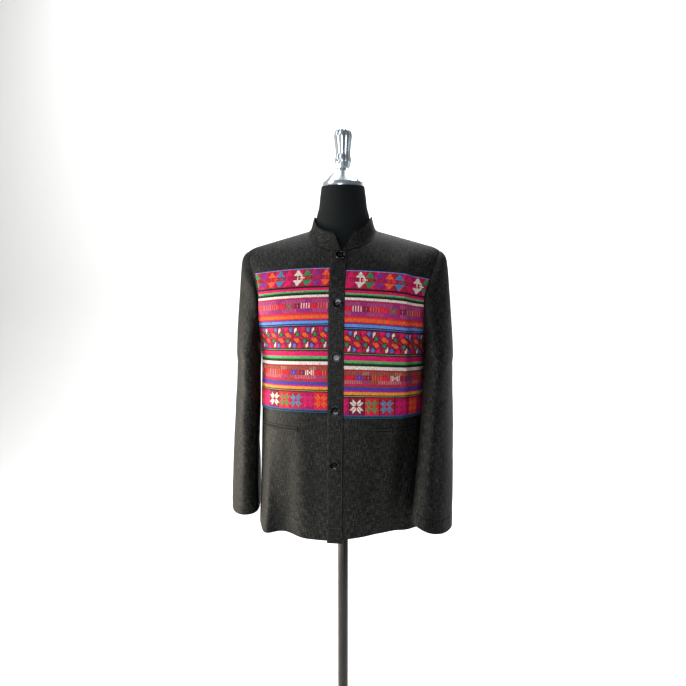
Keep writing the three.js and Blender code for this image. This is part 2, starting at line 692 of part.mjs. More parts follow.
function buttonGeometry() {
  const { radius, thickness, rim, dish } = BUTTON
  const profile = [
    { r: radius - 1, z: 0 },
    { r: radius, z: 0.4 * thickness },
    { r: radius - 0.5, z: 0.9 * thickness },
    { r: radius - 1.3, z: thickness },
    { r: radius - rim, z: thickness - dish },
  ]
  return turned(profile, 16)
}

// ---- dress form -------------------------------------------------------------------------------

// Whether a level place x, y lies in the form's body at height z.
function insideBody(x, y, z) {
  const face = y < 0 ? FACES.right : FACES.back
  const side = along(FORM, 'side', z)
  if (Math.abs(x) >= side) return false
  const round = (1 - (Math.abs(x) / side) ** SQUARENESS) ** (1 / SQUARENESS)
  const ridge = shoulderZ(x) - FORM_BELOW_SHIRT
  const climb = clamp((z - CHEST_Z) / (ridge - CHEST_Z), 0, 1)
  const lean = (1 - climb ** face.bow) ** (1 / face.bow)
  return z < ridge && Math.abs(y) < along(FORM, face.reach, z) * round * lean - 2 * climb
}

function formRadius(angle, z, inset) {
  const [cos, sin] = [Math.cos(angle), Math.sin(angle)]
  let [low, high] = [0, Math.max(...FORM.map(({ side }) => side))]
  for (let halving = 0; halving < 30; halving++) {
    const middle = (low + high) / 2
    if (insideBody(middle * cos, middle * sin, z)) low = middle
    else high = middle
  }
  const [a, b] = [along(FORM_NECK, 'halfWidth', z), along(FORM_NECK, 'halfDepth', z)]
  const neck = 1 / Math.hypot(cos / a, sin / b)
  return Math.max(low, neck) - inset
}

function formGeometry() {
  const level = (z, at, inset) => ring(FORM_SIDES, (angle) => {
    const radius = formRadius(angle, at, inset)
    return new THREE.Vector3(radius * Math.cos(angle), radius * Math.sin(angle), z)
  })
  const [lowest] = FORM_HEIGHTS
  return stack([
    level(FORM_BOTTOM.z, lowest, FORM_BOTTOM.inset),
    ...FORM_HEIGHTS.map((z) => level(z, z, 0)),
  ])
}

// ---- the whole object ---------------------------------------------------------------------------
const cloth = new THREE.MeshStandardMaterial({ color: 0x2b2d2a, roughness: 0.9 })
const woven = new THREE.MeshStandardMaterial({ color: 0xc02050, roughness: 0.85 })
const buttonPlastic = new THREE.MeshStandardMaterial({ color: 0x0b0b0b, roughness: 0.2 })
const jersey = new THREE.MeshStandardMaterial({ color: 0x15181a, roughness: 0.8 })
const chrome = new THREE.MeshStandardMaterial({ color: 0xd0d4d6, roughness: 0.1, metalness: 1 })
const stand = new THREE.MeshStandardMaterial({ color: 0x2a1a1c, roughness: 0.4 })

const group = new THREE.Group()

function add(name, geometry, material) {
  const mesh = new THREE.Mesh(geometry, material)
  mesh.name = name
  group.add(mesh)
  return mesh
}

add('back', trunkGeometry('back'), cloth)
for (const name of ['right', 'left']) {
  add(`front_${name}`, trunkGeometry(name), cloth)
  add(`sleeve_${name}`, sleeveGeometry(name), cloth)
  add(`chest_panel_${name}`, panelGeometry(name), woven)
  const { openingZ, slit, weltHeight } = POCKET
  const upper = openingZ + slit / 2
  const lower = openingZ - slit / 2
  add(`pocket_${name}_upper_welt`, weltGeometry(name, upper, upper + weltHeight), cloth)
  add(`pocket_${name}_lower_welt`, weltGeometry(name, lower - weltHeight, lower), cloth)
}
add('collar', collarGeometry(), cloth)
add('placket', placketGeometry(), cloth)

const up = new THREE.Vector3(0, 0, 1)
BUTTON_ROWS.forEach(({ z, x }, i) => {
  const button = add(`button_${i + 1}`, buttonGeometry(), buttonPlastic)
  const offset = CLOTH + SEAM + PLACKET_CLOTH + 2 * SEAM
  button.position.copy(trunkPoint(x, z, FACES.right, offset))
  button.quaternion.setFromUnitVectors(up, outwardAt(x, z, FACES.right))
})

add('dress_form', formGeometry(), jersey)
add('neck_cap', turned(CAP, 40), chrome)
add('finial', turned([...FINIAL, { r: 3, z: FINIAL_TOP }], FLUTES * 4, FLUTES), chrome)

const poleTop = FORM_BOTTOM.z - SEAM
const poleBottom = BASE.thickness + SEAM
add('pole', turned([
  { r: POLE.radius, z: poleBottom },
  { r: POLE.radius, z: poleTop },
], POLE.sides), stand)
add('base', turned([
  { r: BASE.radius, z: 0 },
  { r: BASE.radius, z: 0.7 * BASE.thickness },
  { r: BASE.topRadius, z: BASE.thickness },
], BASE.sides), stand)

export default group
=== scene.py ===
# A dark cotton shirt-jacket with a band collar, buttoned on a limbless dress form.
# Sizes are in millimetres and meshes in metres. The floor is z = 0, the form's pole stands on
# the Z axis and the shirt's front faces -Y, so that the wearer's left is at +X.
import math
import random
from itertools import accumulate

import bpy
from mathutils import Matrix, Vector, noise


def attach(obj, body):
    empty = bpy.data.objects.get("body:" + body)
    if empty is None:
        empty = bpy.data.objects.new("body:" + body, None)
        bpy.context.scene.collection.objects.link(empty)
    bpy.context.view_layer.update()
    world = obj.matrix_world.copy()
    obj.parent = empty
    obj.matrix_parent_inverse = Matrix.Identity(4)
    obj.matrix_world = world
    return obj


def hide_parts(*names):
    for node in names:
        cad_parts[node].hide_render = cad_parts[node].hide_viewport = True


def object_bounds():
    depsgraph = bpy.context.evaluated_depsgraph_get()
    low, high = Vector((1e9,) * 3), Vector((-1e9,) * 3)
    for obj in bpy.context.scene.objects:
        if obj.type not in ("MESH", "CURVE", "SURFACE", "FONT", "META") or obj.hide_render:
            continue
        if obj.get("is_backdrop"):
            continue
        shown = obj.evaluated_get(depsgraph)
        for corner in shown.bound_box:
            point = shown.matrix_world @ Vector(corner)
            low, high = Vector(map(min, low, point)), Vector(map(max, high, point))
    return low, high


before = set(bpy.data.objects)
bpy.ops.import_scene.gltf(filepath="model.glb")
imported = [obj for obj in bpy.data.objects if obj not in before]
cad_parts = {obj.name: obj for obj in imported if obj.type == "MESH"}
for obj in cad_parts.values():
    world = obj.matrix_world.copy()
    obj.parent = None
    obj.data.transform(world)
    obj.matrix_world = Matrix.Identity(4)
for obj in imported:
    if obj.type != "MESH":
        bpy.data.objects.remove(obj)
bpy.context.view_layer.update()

# ---- Back -------------------------------------------------------------------------------
# One width of hand-loomed cotton cut on the fold, pressed and hung on the form. Its lower
# edge is turned up 35 mm inside and stitched. The fronts join it at the side and the shoulder.

MM = 0.001                       # a millimetre in metres
CLOTH = 1.5                      # thickness of the shirt cloth, turned and pressed
SEAM = 0.3                       # room between neighbouring pieces


def table(columns, *rows):
    """Rows of sizes under named columns."""
    return [dict(zip(columns.split(), row)) for row in rows]


TRUNK = table(                   # the shirt's half-width and its depths at each height
    "z side front back",
    (785, 200, 147, 132), (950, 194, 143, 125), (1100, 191, 134, 118),
    (1225, 191, 124, 118), (1300, 206, 117, 118), (1440, 240, 112, 116),
)
SQUARENESS = 2.4                 # of the trunk's plan: 2 would be an oval
HEM_Z = 800                      # the folds are deepest here
HALF_HEM = 199                   # half-width of the hem, from the middle to the side seam
CHEST_Z = 1300                   # above this the cloth leans in to the shoulder seam
NECK = {"half_width": 79, "side_z": 1490, "front_z": 1444, "back_z": 1482}
SHOULDER = {"slope": 0.285, "round_from_x": 205, "round_drop": 11, "round_width": 32}
TIP_X = 225                      # the shoulder seam's outer end
UNDERARM_Z = 1225
ARMHOLE = table(
    "z x", (1225, 191), (1262, 188), (1322, 190), (1358, 195), (1398, 209), (1425, 219),
    (1444, 225),
)
FACES = {
    "back": {
        "sign": 1,
        "reach": "back",
        "bow": 2,
        "hem": table("share z", (0, 800), (0.45, 797), (0.8, 801), (1, 806)),
        "folds": [(40, -7, 26, 1120), (88, 6, 24, 1090), (150, -5, 18, 1060)],
        "creases": [
            # from x, z   to x, z   width  depth
            (-30, 1400, 60, 1396, 22, 1.2), (-150, 1330, -70, 1290, 15, -1.6),
            (150, 1335, 80, 1300, 15, -1.6), (-175, 1240, -120, 1205, 12, 1.4),
            (176, 1240, 110, 1200, 13, 1.5), (-10, 1190, 8, 840, 20, -1.8),
            (-100, 1120, -115, 830, 16, 1.6), (96, 1140, 118, 850, 17, 1.7),
            (-60, 1060, 30, 1052, 14, -1.0), (-160, 1075, -140, 830, 12, -1.4),
        ],
    },
}


def along(rows, column, value, key="z"):
    """A smooth value between the rows of a table; past its ends it keeps the end value."""
    rows = sorted(rows, key=lambda row: row[key])
    if value <= rows[0][key]:
        return rows[0][column]
    if value >= rows[-1][key]:
        return rows[-1][column]
    k = next(i for i in range(len(rows) - 1) if value <= rows[i + 1][key])

    def slope(i):
        a, b = rows[max(i - 1, 0)], rows[min(i + 1, len(rows) - 1)]
        return (b[column] - a[column]) / (b[key] - a[key])

    low, high = rows[k], rows[k + 1]
    step = high[key] - low[key]
    rise = high[column] - low[column]
    f = (value - low[key]) / step
    bend = (1 - f) * (slope(k) * step - rise) - f * (slope(k + 1) * step - rise)
    return low[column] + f * rise + f * (1 - f) * bend


def mix(a, b, f):
    return a + (b - a) * f


def rounded(share, power):
    """The height of a squarish arch, from 1 at its middle to 0 at its end."""
    return (1 - share ** power) ** (1 / power)


def round_the_plan(share):
    """Spaces places evenly round the trunk's plan, from its middle to its side."""
    return math.sin(share * math.pi / 2) ** (2 / SQUARENESS)


def clamp(value, low=0.0, high=1.0):
    return min(max(value, low), high)


def shoulder_z(x):
    beyond = max(0.0, (abs(x) - SHOULDER["round_from_x"]) / SHOULDER["round_width"])
    fall = (abs(x) - NECK["half_width"]) * SHOULDER["slope"]
    return NECK["side_z"] - fall - SHOULDER["round_drop"] * beyond ** 2


def depth_at(x, z, face):
    """How far the cloth lies before or behind the shoulder line."""
    side = along(TRUNK, "side", z)
    rounding = rounded(min(1.0, abs(x) / side), SQUARENESS)
    lean = rounded(clamp((z - CHEST_Z) / (shoulder_z(x) - CHEST_Z)), face["bow"])
    fold = 0.0
    for centre, depth, width, top in face["folds"]:
        fade = clamp((top - z) / (top - HEM_Z))
        fold += depth * fade * math.exp(-(((abs(x) - centre) / width) ** 2))
    return (along(TRUNK, face["reach"], z) + fold) * rounding * lean


def outward_at(x, z, face):
    """The way out of the cloth, read a hair inside the side and shoulder seams."""
    hair = 0.02
    x, z = x * 0.9995, z - 2 * hair
    across = (depth_at(x + hair, z, face) - depth_at(x - hair, z, face)) / (2 * hair)
    up = (depth_at(x, z + hair, face) - depth_at(x, z - hair, face)) / (2 * hair)
    return Vector((-across, face["sign"], -up)).normalized()


def hem_z(x, face):
    return along(face["hem"], "z", abs(x) / along(TRUNK, "side", HEM_Z), key="share")


def crease_lift(x, z, creases):
    """The height of the listed creases: each a soft trough or ridge along a line."""
    lift = 0.0
    for x0, z0, x1, z1, width, depth in creases:
        dx, dz = x1 - x0, z1 - z0
        length = math.hypot(dx, dz)
        share = ((x - x0) * dx + (z - z0) * dz) / length ** 2
        if 0 < share < 1:
            across = ((x - x0) * dz - (z - z0) * dx) / length
            lift += depth * math.exp(-((across / width) ** 2)) * math.sin(math.pi * share) ** 0.7
    return lift


def turned_up(height, depth):
    """A turned-up edge is fuller, and its row of stitches draws it in."""
    full = 0.5 * clamp((depth - height) / 3)
    return full - 0.7 * math.exp(-(((height - depth) / 1.8) ** 2))


def unevenness(x, y, z):
    """Hand-loomed cloth is never quite flat: broad swells and, between them, small ones."""
    broad = noise.noise(Vector((x, y, z)) / 70)
    small = noise.noise(Vector((x, y, z)) / 24 + Vector((5, 3, 1)))
    return 1.1 * broad + 0.4 * small


HEM = 35                         # depth turned up inside


def cloth_point(x, z, face, offset=0.0):
    """A place on a front or the back, moved out by offset. x is signed, +X to the left. The
    creases die out 60 mm below the shoulder seam and 12 mm before the side seam."""
    point = Vector((x, face["sign"] * (depth_at(x, z, face) + SEAM / 2), z))
    calm = clamp((shoulder_z(x) - z) / 60) * clamp((along(TRUNK, "side", z) - abs(x)) / 12)
    lift = calm * (crease_lift(x, z, face["creases"]) + unevenness(*point))
    lift += turned_up(z - hem_z(x, face), HEM)
    return point + outward_at(x, z, face) * (offset + lift)


def edge_x(z):
    """Half-width of the fronts and the back: to the side seam, then to the armhole."""
    return along(TRUNK, "side", z) if z < UNDERARM_Z else along(ARMHOLE, "x", z)


ARMHOLE_HEIGHT = shoulder_z(TIP_X) - UNDERARM_Z


def armhole_z(turn):
    """The armhole spaced as an oval: 0 is the underarm and half a turn is the shoulder tip."""
    return UNDERARM_Z + ARMHOLE_HEIGHT * (1 - math.cos(turn)) / 2


def armhole_turn(z):
    return math.acos(clamp(1 - 2 * (z - UNDERARM_Z) / ARMHOLE_HEIGHT, -1, 1))


SKIRT_HEIGHTS = [0, 1, 5, 12, 20, 27, 31, 33, 34.2, 35.2, 36.4, 38, 42, 48] + list(range(56, 276, 8))
WAIST_ROWS = 18
ARMHOLE_ROWS = 22
YOKE_ROWS = 22


def neck_place(x, neck_z):
    round_in = math.sqrt(1 - min(1, abs(x) / NECK["half_width"]) ** 2)
    return x, mix(NECK["side_z"], neck_z, round_in)


def half_trunk(first_x, panel, face, neck_z, columns=44, neck_columns=18, underlaps=()):
    """Rows of x, z places from the middle to the side, from the hem to neck and shoulder. Some
    rows follow the chest panel's lower and upper edge."""
    spread = [round_the_plan(i / columns) for i in range(columns + 1)]

    def centre_at(edge):
        share = (edge - panel["bottom_edge"]) / (panel["top_edge"] - panel["bottom_edge"])
        return mix(panel["bottom_centre"], panel["top_centre"], share)

    def level(edge, centre, hem_share=0.0):
        reach = edge_x(edge)
        row = []
        for x in [*underlaps, *(mix(first_x, reach, s) for s in spread)]:
            low = panel["bottom_edge"] if hem_share else edge
            z = mix(low, centre, 1 - (x / reach) ** 2)
            if hem_share:
                z = mix(z, hem_z(x * HALF_HEM / reach, face), hem_share)
            row.append((x, z))
        return row

    side_hem = hem_z(HALF_HEM, face)
    skirt = panel["bottom_edge"] - side_hem
    rows = [
        level(side_hem + h, panel["bottom_centre"], 1 - h / skirt) for h in SKIRT_HEIGHTS
    ]
    for i in range(WAIST_ROWS):
        edge = mix(panel["bottom_edge"], UNDERARM_Z, i / WAIST_ROWS)
        rows.append(level(edge, centre_at(edge)))
    chest_turn = armhole_turn(panel["top_edge"])
    for i in range(ARMHOLE_ROWS + 1):
        edge = armhole_z(chest_turn * i / ARMHOLE_ROWS)
        rows.append(level(edge, centre_at(edge)))
    first = math.asin(first_x / NECK["half_width"])
    top = [neck_place(x, neck_z) for x in underlaps]
    for i in range(columns + 1):
        if i <= neck_columns:
            angle = mix(first, math.pi / 2, i / neck_columns)
            top.append(neck_place(NECK["half_width"] * math.sin(angle), neck_z))
        else:
            share = (i - neck_columns) / (columns - neck_columns)
            x = mix(NECK["half_width"], TIP_X, share)
            top.append((x, shoulder_z(x)))
    chest, end = rows[-1], len(top) - 1
    for i in range(1, YOKE_ROWS + 1):
        f = i / YOKE_ROWS
        outer_z = armhole_z(mix(chest_turn, math.pi, f))
        outer_x = edge_x(outer_z)
        row = []
        for c, ((x, z), (top_x, top_z)) in enumerate(zip(chest, top)):
            pull = (c / end) ** 2
            row.append((
                mix(x, top_x, f) + pull * (outer_x - mix(chest[end][0], top[end][0], f)),
                mix(z, top_z, f) + pull * (outer_z - mix(chest[end][1], top[end][1], f)),
            ))
        rows.append(row)
    return rows


def run_along(points):
    """The distance along a line of points to each of them."""
    steps = [(after - before).length for before, after in zip(points, points[1:])]
    return list(accumulate(steps, initial=0.0))


def lay_grid(name, rows):
    """A grid whose corners are moved to these places, in millimetres. Its UV map is the
    distance along the cloth in metres, across and up."""
    across = len(rows[0])
    bpy.ops.object.select_all(action="DESELECT")
    bpy.ops.mesh.primitive_grid_add(x_subdivisions=across - 1, y_subdivisions=len(rows) - 1)
    piece = bpy.context.object
    piece.name = piece.data.name = name
    runs = [run_along(row) for row in rows]
    climbs = [run_along(column) for column in zip(*rows)]
    for i, vertex in enumerate(piece.data.vertices):
        vertex.co = rows[i // across][i % across] * MM
    uv = piece.data.uv_layers[0].data
    for loop in piece.data.loops:
        r, c = divmod(loop.vertex_index, across)
        uv[loop.index].uv = ((runs[r][c] - runs[r][-1] / 2) * MM, climbs[c][r] * MM)
    return piece


def apply_all(piece):
    """Selects the piece alone and applies its modifiers in turn."""
    bpy.ops.object.select_all(action="DESELECT")
    bpy.context.view_layer.objects.active = piece
    piece.select_set(True)
    for modifier in list(piece.modifiers):
        bpy.ops.object.modifier_apply(modifier=modifier.name)


def round_edges(piece, width, segments, angle):
    rounding = piece.modifiers.new("rounding", "BEVEL")
    rounding.width = width * MM
    rounding.segments = segments
    rounding.limit_method = "ANGLE"
    rounding.angle_limit = math.radians(angle)


def place_on_form(piece, material, slot, *nodes, smooth=None):
    """The piece rides with the form and stands for its CAD nodes, if it has any. Where smooth
    is given, it is shaded smooth up to that angle first, while it is the one selected."""
    if smooth:
        bpy.ops.object.shade_smooth_by_angle(angle=math.radians(smooth))
    piece.data.materials.append(material)
    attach(piece, "root")
    if nodes:
        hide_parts(*nodes)


def make_up(piece, heart, *nodes, cloth=None, slot="shirt_cloth", thickness=CLOTH, edge=0.4,
            outward=True):
    """Turns a sheet, faced away from its heart, into a wall of cloth with soft edges."""
    heart = Vector(heart)
    if sum(p.normal.dot(p.center - heart) * p.area for p in piece.data.polygons) < 0:
        piece.data.flip_normals()
    wall = piece.modifiers.new("wall", "SOLIDIFY")
    wall.thickness = thickness * MM
    wall.offset = 1 if outward else -1
    round_edges(piece, edge, 2, 60)
    apply_all(piece)
    place_on_form(piece, cloth or slubbed_cotton, slot, *nodes, smooth=50)
    return piece


def colour(text):
    """An sRGB hex colour as linear light."""
    parts = [int(text[i:i + 2], 16) / 255 for i in (0, 2, 4)]
    linear = [p / 12.92 if p <= 0.04045 else ((p + 0.055) / 1.055) ** 2.4 for p in parts]
    return (*linear, 1.0)


def feed(node, **links):
    """Sets inputs by name or, as in in0, by number. A value is a socket, a node whose first
    output is joined, or a plain value."""
    for name, value in links.items():
        socket = node.inputs[int(name[2:]) if name[2:].isdigit() else name.replace("_", " ")]
        if isinstance(value, bpy.types.Node):
            value = value.outputs[0]
        if isinstance(value, bpy.types.NodeSocket):
            node.id_data.links.new(value, socket)
        else:
            socket.default_value = value
    return node


def add_node(tree, kind, settings=None, **links):
    """One node with its settings and links."""
    node = tree.nodes.new(kind)
    for name, value in (settings or {}).items():
        setattr(node, name, value)
    return feed(node, **links)


def set_ramp(node, stops):
    """Sets a colour ramp's stops, as position and hex colour."""
    ramp = node.color_ramp
    while len(ramp.elements) < len(stops):
        ramp.elements.new(0.5)
    for element, (position, text) in zip(ramp.elements, stops):
        element.position = position
        element.color = colour(text)


def new_material(name, tone=None, **values):
    """A material, its nodes and its shader, with plain values for the shader's inputs."""
    material = bpy.data.materials.new(name)
    material.use_nodes = True
    tree = material.node_tree
    surface = feed(tree.nodes["Principled BSDF"], **values)
    if tone:
        feed(surface, Base_Color=colour(tone))
    return material, tree, surface


# Slubbed plain-weave cotton, piece-dyed charcoal. Uneven hand-spun threads leave short light
# and dark streaks both ways, the dye is a little patchy, and the face has hardly any gloss.
slubbed_cotton, tree, surface = new_material(
    "slubbed_charcoal_cotton", Roughness=0.6, IOR=1.5, Specular_IOR_Level=0.17
)
cloth_map = add_node(tree, "ShaderNodeUVMap")
THREAD = 1.6                     # pitch in mm: the real 0.65 would not show
SLUB = 14                        # length in mm of a thick place in a thread
streaks = []
for scale in ((1000 / THREAD, 1000 / SLUB, 1), (1000 / SLUB, 1000 / THREAD, 1)):
    stretched = add_node(tree, "ShaderNodeMapping", Vector=cloth_map, Scale=scale)
    streaks.append(add_node(
        tree, "ShaderNodeTexNoise", Vector=stretched, Scale=1.0, Detail=3.0, Roughness=0.6
    ))
both_ways = add_node(
    tree, "ShaderNodeMix", {"data_type": "FLOAT"}, in0=0.42, in2=streaks[0], in3=streaks[1]
)
dye = add_node(
    tree, "ShaderNodeTexNoise", Vector=cloth_map, Scale=14.0, Detail=4.0, Roughness=0.6
)
thread_colour = add_node(tree, "ShaderNodeValToRGB", Fac=both_ways)
set_ramp(thread_colour, [(0.44, "040404"), (0.5, "131412"), (0.56, "373833")])
dye_tone = add_node(tree, "ShaderNodeValToRGB", Fac=dye)
set_ramp(dye_tone, [(0.3, "c4c4c4"), (0.7, "ffffff")])
dyed = add_node(
    tree, "ShaderNodeMix", {"data_type": "RGBA", "blend_type": "MULTIPLY"},
    in0=1.0, in6=thread_colour, in7=dye_tone,
)
relief = add_node(tree, "ShaderNodeBump", Height=both_ways, Strength=0.8, Distance=0.0006)
feed(surface, Base_Color=dyed.outputs[2], Normal=relief)


PANELS = {                       # heights of each chest panel's corners
    "right": {"top_centre": 1406, "top_edge": 1392, "bottom_centre": 1085, "bottom_edge": 1081},
    "left": {"top_centre": 1401, "top_edge": 1381, "bottom_centre": 1074, "bottom_edge": 1070},
}
half_back = half_trunk(0, PANELS["right"], FACES["back"], NECK["back_z"])
back_rows = [
    [cloth_point(-x, z, FACES["back"]) for x, z in reversed(row[1:])]
    + [cloth_point(x, z, FACES["back"]) for x, z in row]
    for row in half_back
]
make_up(lay_grid("back_cloth", back_rows), (0, 0, 1.15), "back")

# ---- Fronts -----------------------------------------------------------------------------
# Two fronts of the same cloth. The right one runs on under the opening, and the left one
# ends under the placket. Each hem is turned up 35 mm and topstitched, and hangs unevenly.

FRONT_EDGE = 14                  # from the middle, under the placket
SIDES = {"right": -1, "left": 1}
FRONT = {"sign": -1, "reach": "front", "bow": 1.6}
FACES["right"] = {
    **FRONT,
    "hem": table("share z", (0, 797), (0.3, 797), (0.6, 802), (0.87, 797), (1, 806)),
    "folds": [(0, 3, 45, 1080), (116, -13, 28, 1050), (168, 34, 19, 1040)],
    "creases": [
        (-196, 1345, -140, 1300, 13, -1.5), (-200, 1300, -150, 1262, 11, 1.3),
        (-190, 1250, -120, 1240, 14, -1.3), (-150, 1440, -95, 1415, 14, -1.0),
        (-182, 1068, -95, 1052, 9, 1.3), (-172, 1020, -166, 830, 11, -1.6),
        (-128, 1010, -120, 850, 16, 1.5), (-80, 1110, -74, 760, 24, 4.2),
        (-44, 1080, -46, 760, 16, -1.4), (-150, 905, -95, 880, 11, 1.0),
    ],
}
FACES["left"] = {
    **FRONT,
    "hem": table("share z", (0, 798), (0.3, 806), (0.5, 812), (0.85, 814), (1, 806)),
    "folds": [(0, 3, 45, 1080), (108, -14, 32, 1070), (160, 6, 16, 1060)],
    "creases": [
        (136, 1450, 138, 1040, 34, 8.0), (148, 1440, 146, 1060, 8, 3.6),
        (166, 1430, 163, 1080, 12, -4.5), (196, 1350, 168, 1300, 10, -1.4),
        (144, 1110, 96, 760, 24, 8.0), (166, 1100, 128, 780, 17, -6.0),
        (60, 1000, 72, 850, 14, -1.2), (90, 1445, 150, 1420, 14, -1.1),
        (40, 900, 90, 890, 12, 0.9),
    ],
}

for name, side in SIDES.items():
    rows = half_trunk(
        FRONT_EDGE, PANELS[name], FACES[name], NECK["front_z"],
        underlaps=(-12, -6, 1, 7) if name == "right" else (),
    )
    front = lay_grid(f"front_{name}_cloth", [
        [cloth_point(side * x, z, FACES[name]) for x, z in row] for row in rows
    ])
    make_up(front, (0, 0.1, 1.15), f"front_{name}")

# ---- Chest panels -----------------------------------------------------------------------
# Each front has a panel of narrow hand-loomed bands laid over it: plain stripes between
# bands of counted stitches, worked in bright cotton. One stitch is about 2 mm each way.

STITCH = 1.95                    # of the counted work, each way
PLACKET_HALF = 17.5              # half the placket's width, where the panels begin
PANEL_CLOTH = 1.2
THREADS = {
    "m": "b4125a", "p": "ee146c", "r": "c41c34", "s": "ec2038", "z": "8c1430", "h": "c02a5a",
    "j": "b82c46", "o": "fa6a2c", "O": "ec4434", "y": "fba640", "a": "c2a468", "e": "8a6a3a",
    "g": "2f9a58", "G": "0f4c26", "l": "62bd6e", "w": "fbf0e2", "b": "3a94c4", "t": "245f74",
    "B": "6a9ee6", "n": "1b2248", "v": "5340b8", "u": "8a349c", "k": "1c1517", "c": "a8589c",
    "i": "d88c8c",
}
ARROWS = [                       # x takes each motif's own colour, and d its darker one
    ".....xx.......",
    "....xxxx......",
    "....xxxx......",
    "...xxxxxx.....",
    "..xxxxxxxx....",
    ".xxxxxxxxxx...",
    ".....d.zsdd...",
    ".....dszssdd..",
    ".....dssdddddd",
    ".....dszssdd..",
    ".....d.zsdd...",
    "xxxxxxxxxxx...",
    ".xxxxxxxxx....",
    "..xxxxxxx.....",
    "...xxxxx......",
    "...xxxx.......",
    "....xx........",
]
ARROW_THREADS = ["ww", "gG", "um", "oO", "bt", "pm"]
BARS = ["x..x..x..x"] * 6
BLOCK = [".........", ".xxxxxxx."] + [".xxxxxxxx"] * 3 + [".xxxxxxx."]
LADDER = ["x.x....x.x", "x.xx..xx.x", "x.x.xx.x.x", "x.x.xx.x.x", "x.xx..xx.x", "x.x....x.x"]
CROSS = ["..xx..xx..", "..xxx.xxx.", "...xxbxx..", "...xxbxx..", "..xxx.xxx.", "..xx..xx.."]
FIGURES = {"w": BARS, "o": BARS, "i": BARS, "s": BLOCK, "e": CROSS, "v": CROSS, "z": CROSS,
           "W": LADDER}
LEAVES = [                       # the upper half; the lower half is it turned half round
    "mmuummmmmmrrrrmpppppm",
    "mubbummmwwkrrrmpppppm",
    "ubbbuukwwwkrrrkpppprm",
    "ubbbuukwwwmrrmkppprrm",
    "kubbukmwwkmrmmkmprrrk",
    "mkuukmkwkmmkmkmmrrrrr",
    "rmkkmmkwmkggkmmmrrooo",
    "ormmmkmkkggggkmmroooo",
    "oormmmrkkggggkmkroooo",
    "ooorkmrrmkggkmmkkrooo",
    "roorrkmrrmkkmrrmmkroo",
    "mrrrmmkmrrrmmrrrmmkrr",
]


def arrows(row, column):
    """Arrowheads above and below a short stem, each motif in the next colour."""
    if 1 <= row < 18:
        for behind in (0, 1):
            number, place = divmod(column - 11 * behind, 11)
            place += 11 * behind
            mark = ARROWS[row - 1][place] if place < 14 else "."
            if mark in "xd":
                return ARROW_THREADS[number % 6]["xd".index(mark)]
            if mark != ".":
                return mark
    if row == 19:
        return "k"
    return "rmmpr"[(column + row // 3) // 3 % 5]


def leaves(row, column):
    """Leaves, dots and lozenges on a slant; the lower half is the upper turned round."""
    if row < len(LEAVES):
        return LEAVES[row][column % 21]
    return LEAVES[22 - row][(30 - column) % 21]


def small_figures(row, column, pitch, order, dashes, ground):
    """A row of small figures, with a row of short upright dashes above and below it."""
    if 2 <= row <= 5 or 12 <= row <= 15:
        shades = dashes[row > 9]
        return shades[column // 9 % len(shades)] if column % 2 else ground
    if 6 <= row <= 11:
        number, place = divmod(column, pitch)
        thread = order[number % len(order)]
        if thread in FIGURES and place < len(FIGURES[thread][row - 6]):
            mark = FIGURES[thread][row - 6][place]
            return {"x": thread.replace("W", "w"), "b": "b"}.get(mark, ground)
    return ground


def stars(row, column, colours, pitch):
    """An eight-pointed star of slanting leaves in each square, on red and magenta in turn."""
    number, place = divmod(column, pitch)
    if place == pitch - 1 and pitch > 15:
        return "k"
    thread, ground = colours[number % len(colours)]
    low, high = sorted((abs(place - 7), abs(row - 9)))
    return thread if 1 <= low <= 4 and low < high <= low + 3 else ground


BANDS = [                        # height in mm and rows of thread, or a chart's row count
    (3.0, "nB"), (39.4, 20, "arrows"), (2.2, "k"), (5.8, "ppp"), (3.6, "ll"), (2.6, "GG"),
    (3.2, "kk"), (5.2, "www"), (34.2, 17, "bars"), (2.8, "s"), (9.2, "Oooo"), (3.2, "sr"),
    (8.2, "vBBB"), (2.6, "n"), (1.1, "B"), (3.6, "nk"), (47.2, 23, "leaves"), (2.4, "k"),
    (1.4, "l"), (2.7, "k"), (11.0, "ppppp"), (5.6, "lll"), (2.8, "G"), (3.5, "kk"),
    (7.3, "wwww"), (33.0, 17, "figures"), (4.3, "pr"), (9.3, "tvvu"), (2.2, "p"),
    (6.3, "yyy"), (2.2, "k"), (1.5, "a"), (2.3, "k"), (37.7, 19, "stars"), (1.6, "v"),
    (5.4, "tnt"),
]
PANEL_STARTS = {                 # where each chart's first motif begins, in stitches to +X
    "right": {"arrows": -43, "bars": -82, "leaves": -26, "figures": -76, "stars": -75},
    "left": {"arrows": 11, "bars": -1, "leaves": 4, "figures": 2, "stars": 7},
}
BAR_ORDER = {"right": "iosezwso", "left": "swzoseziozz"}
FIGURE_ORDER = {"right": "iosvzWso", "left": "svzosWzvsoz"}
GROUNDS = "mrkhjz"               # the woven ground's threads
RAISED = 0.3                     # how far the other threads stand above them
STAR_ORDER = ["wz", "gs", "br", "pm", "os", "pm"]
STAR_PITCH = {"right": 15, "left": 17}


def panel_thread(name, kind, row, column):
    """The thread of one stitch; column counts towards +X from the placket's edge."""
    column -= PANEL_STARTS[name][kind]
    if kind == "arrows":
        return arrows(row, column)
    if kind == "leaves":
        return leaves(row, column)
    if kind == "bars":
        return small_figures(row, column, 10, BAR_ORDER[name], ("ccuc", "cuuc"), "h")
    if kind == "figures":
        return small_figures(row, column, 10, FIGURE_ORDER[name], ("eeae", "iicei"), "j")
    return stars(row, column, STAR_ORDER, STAR_PITCH[name])


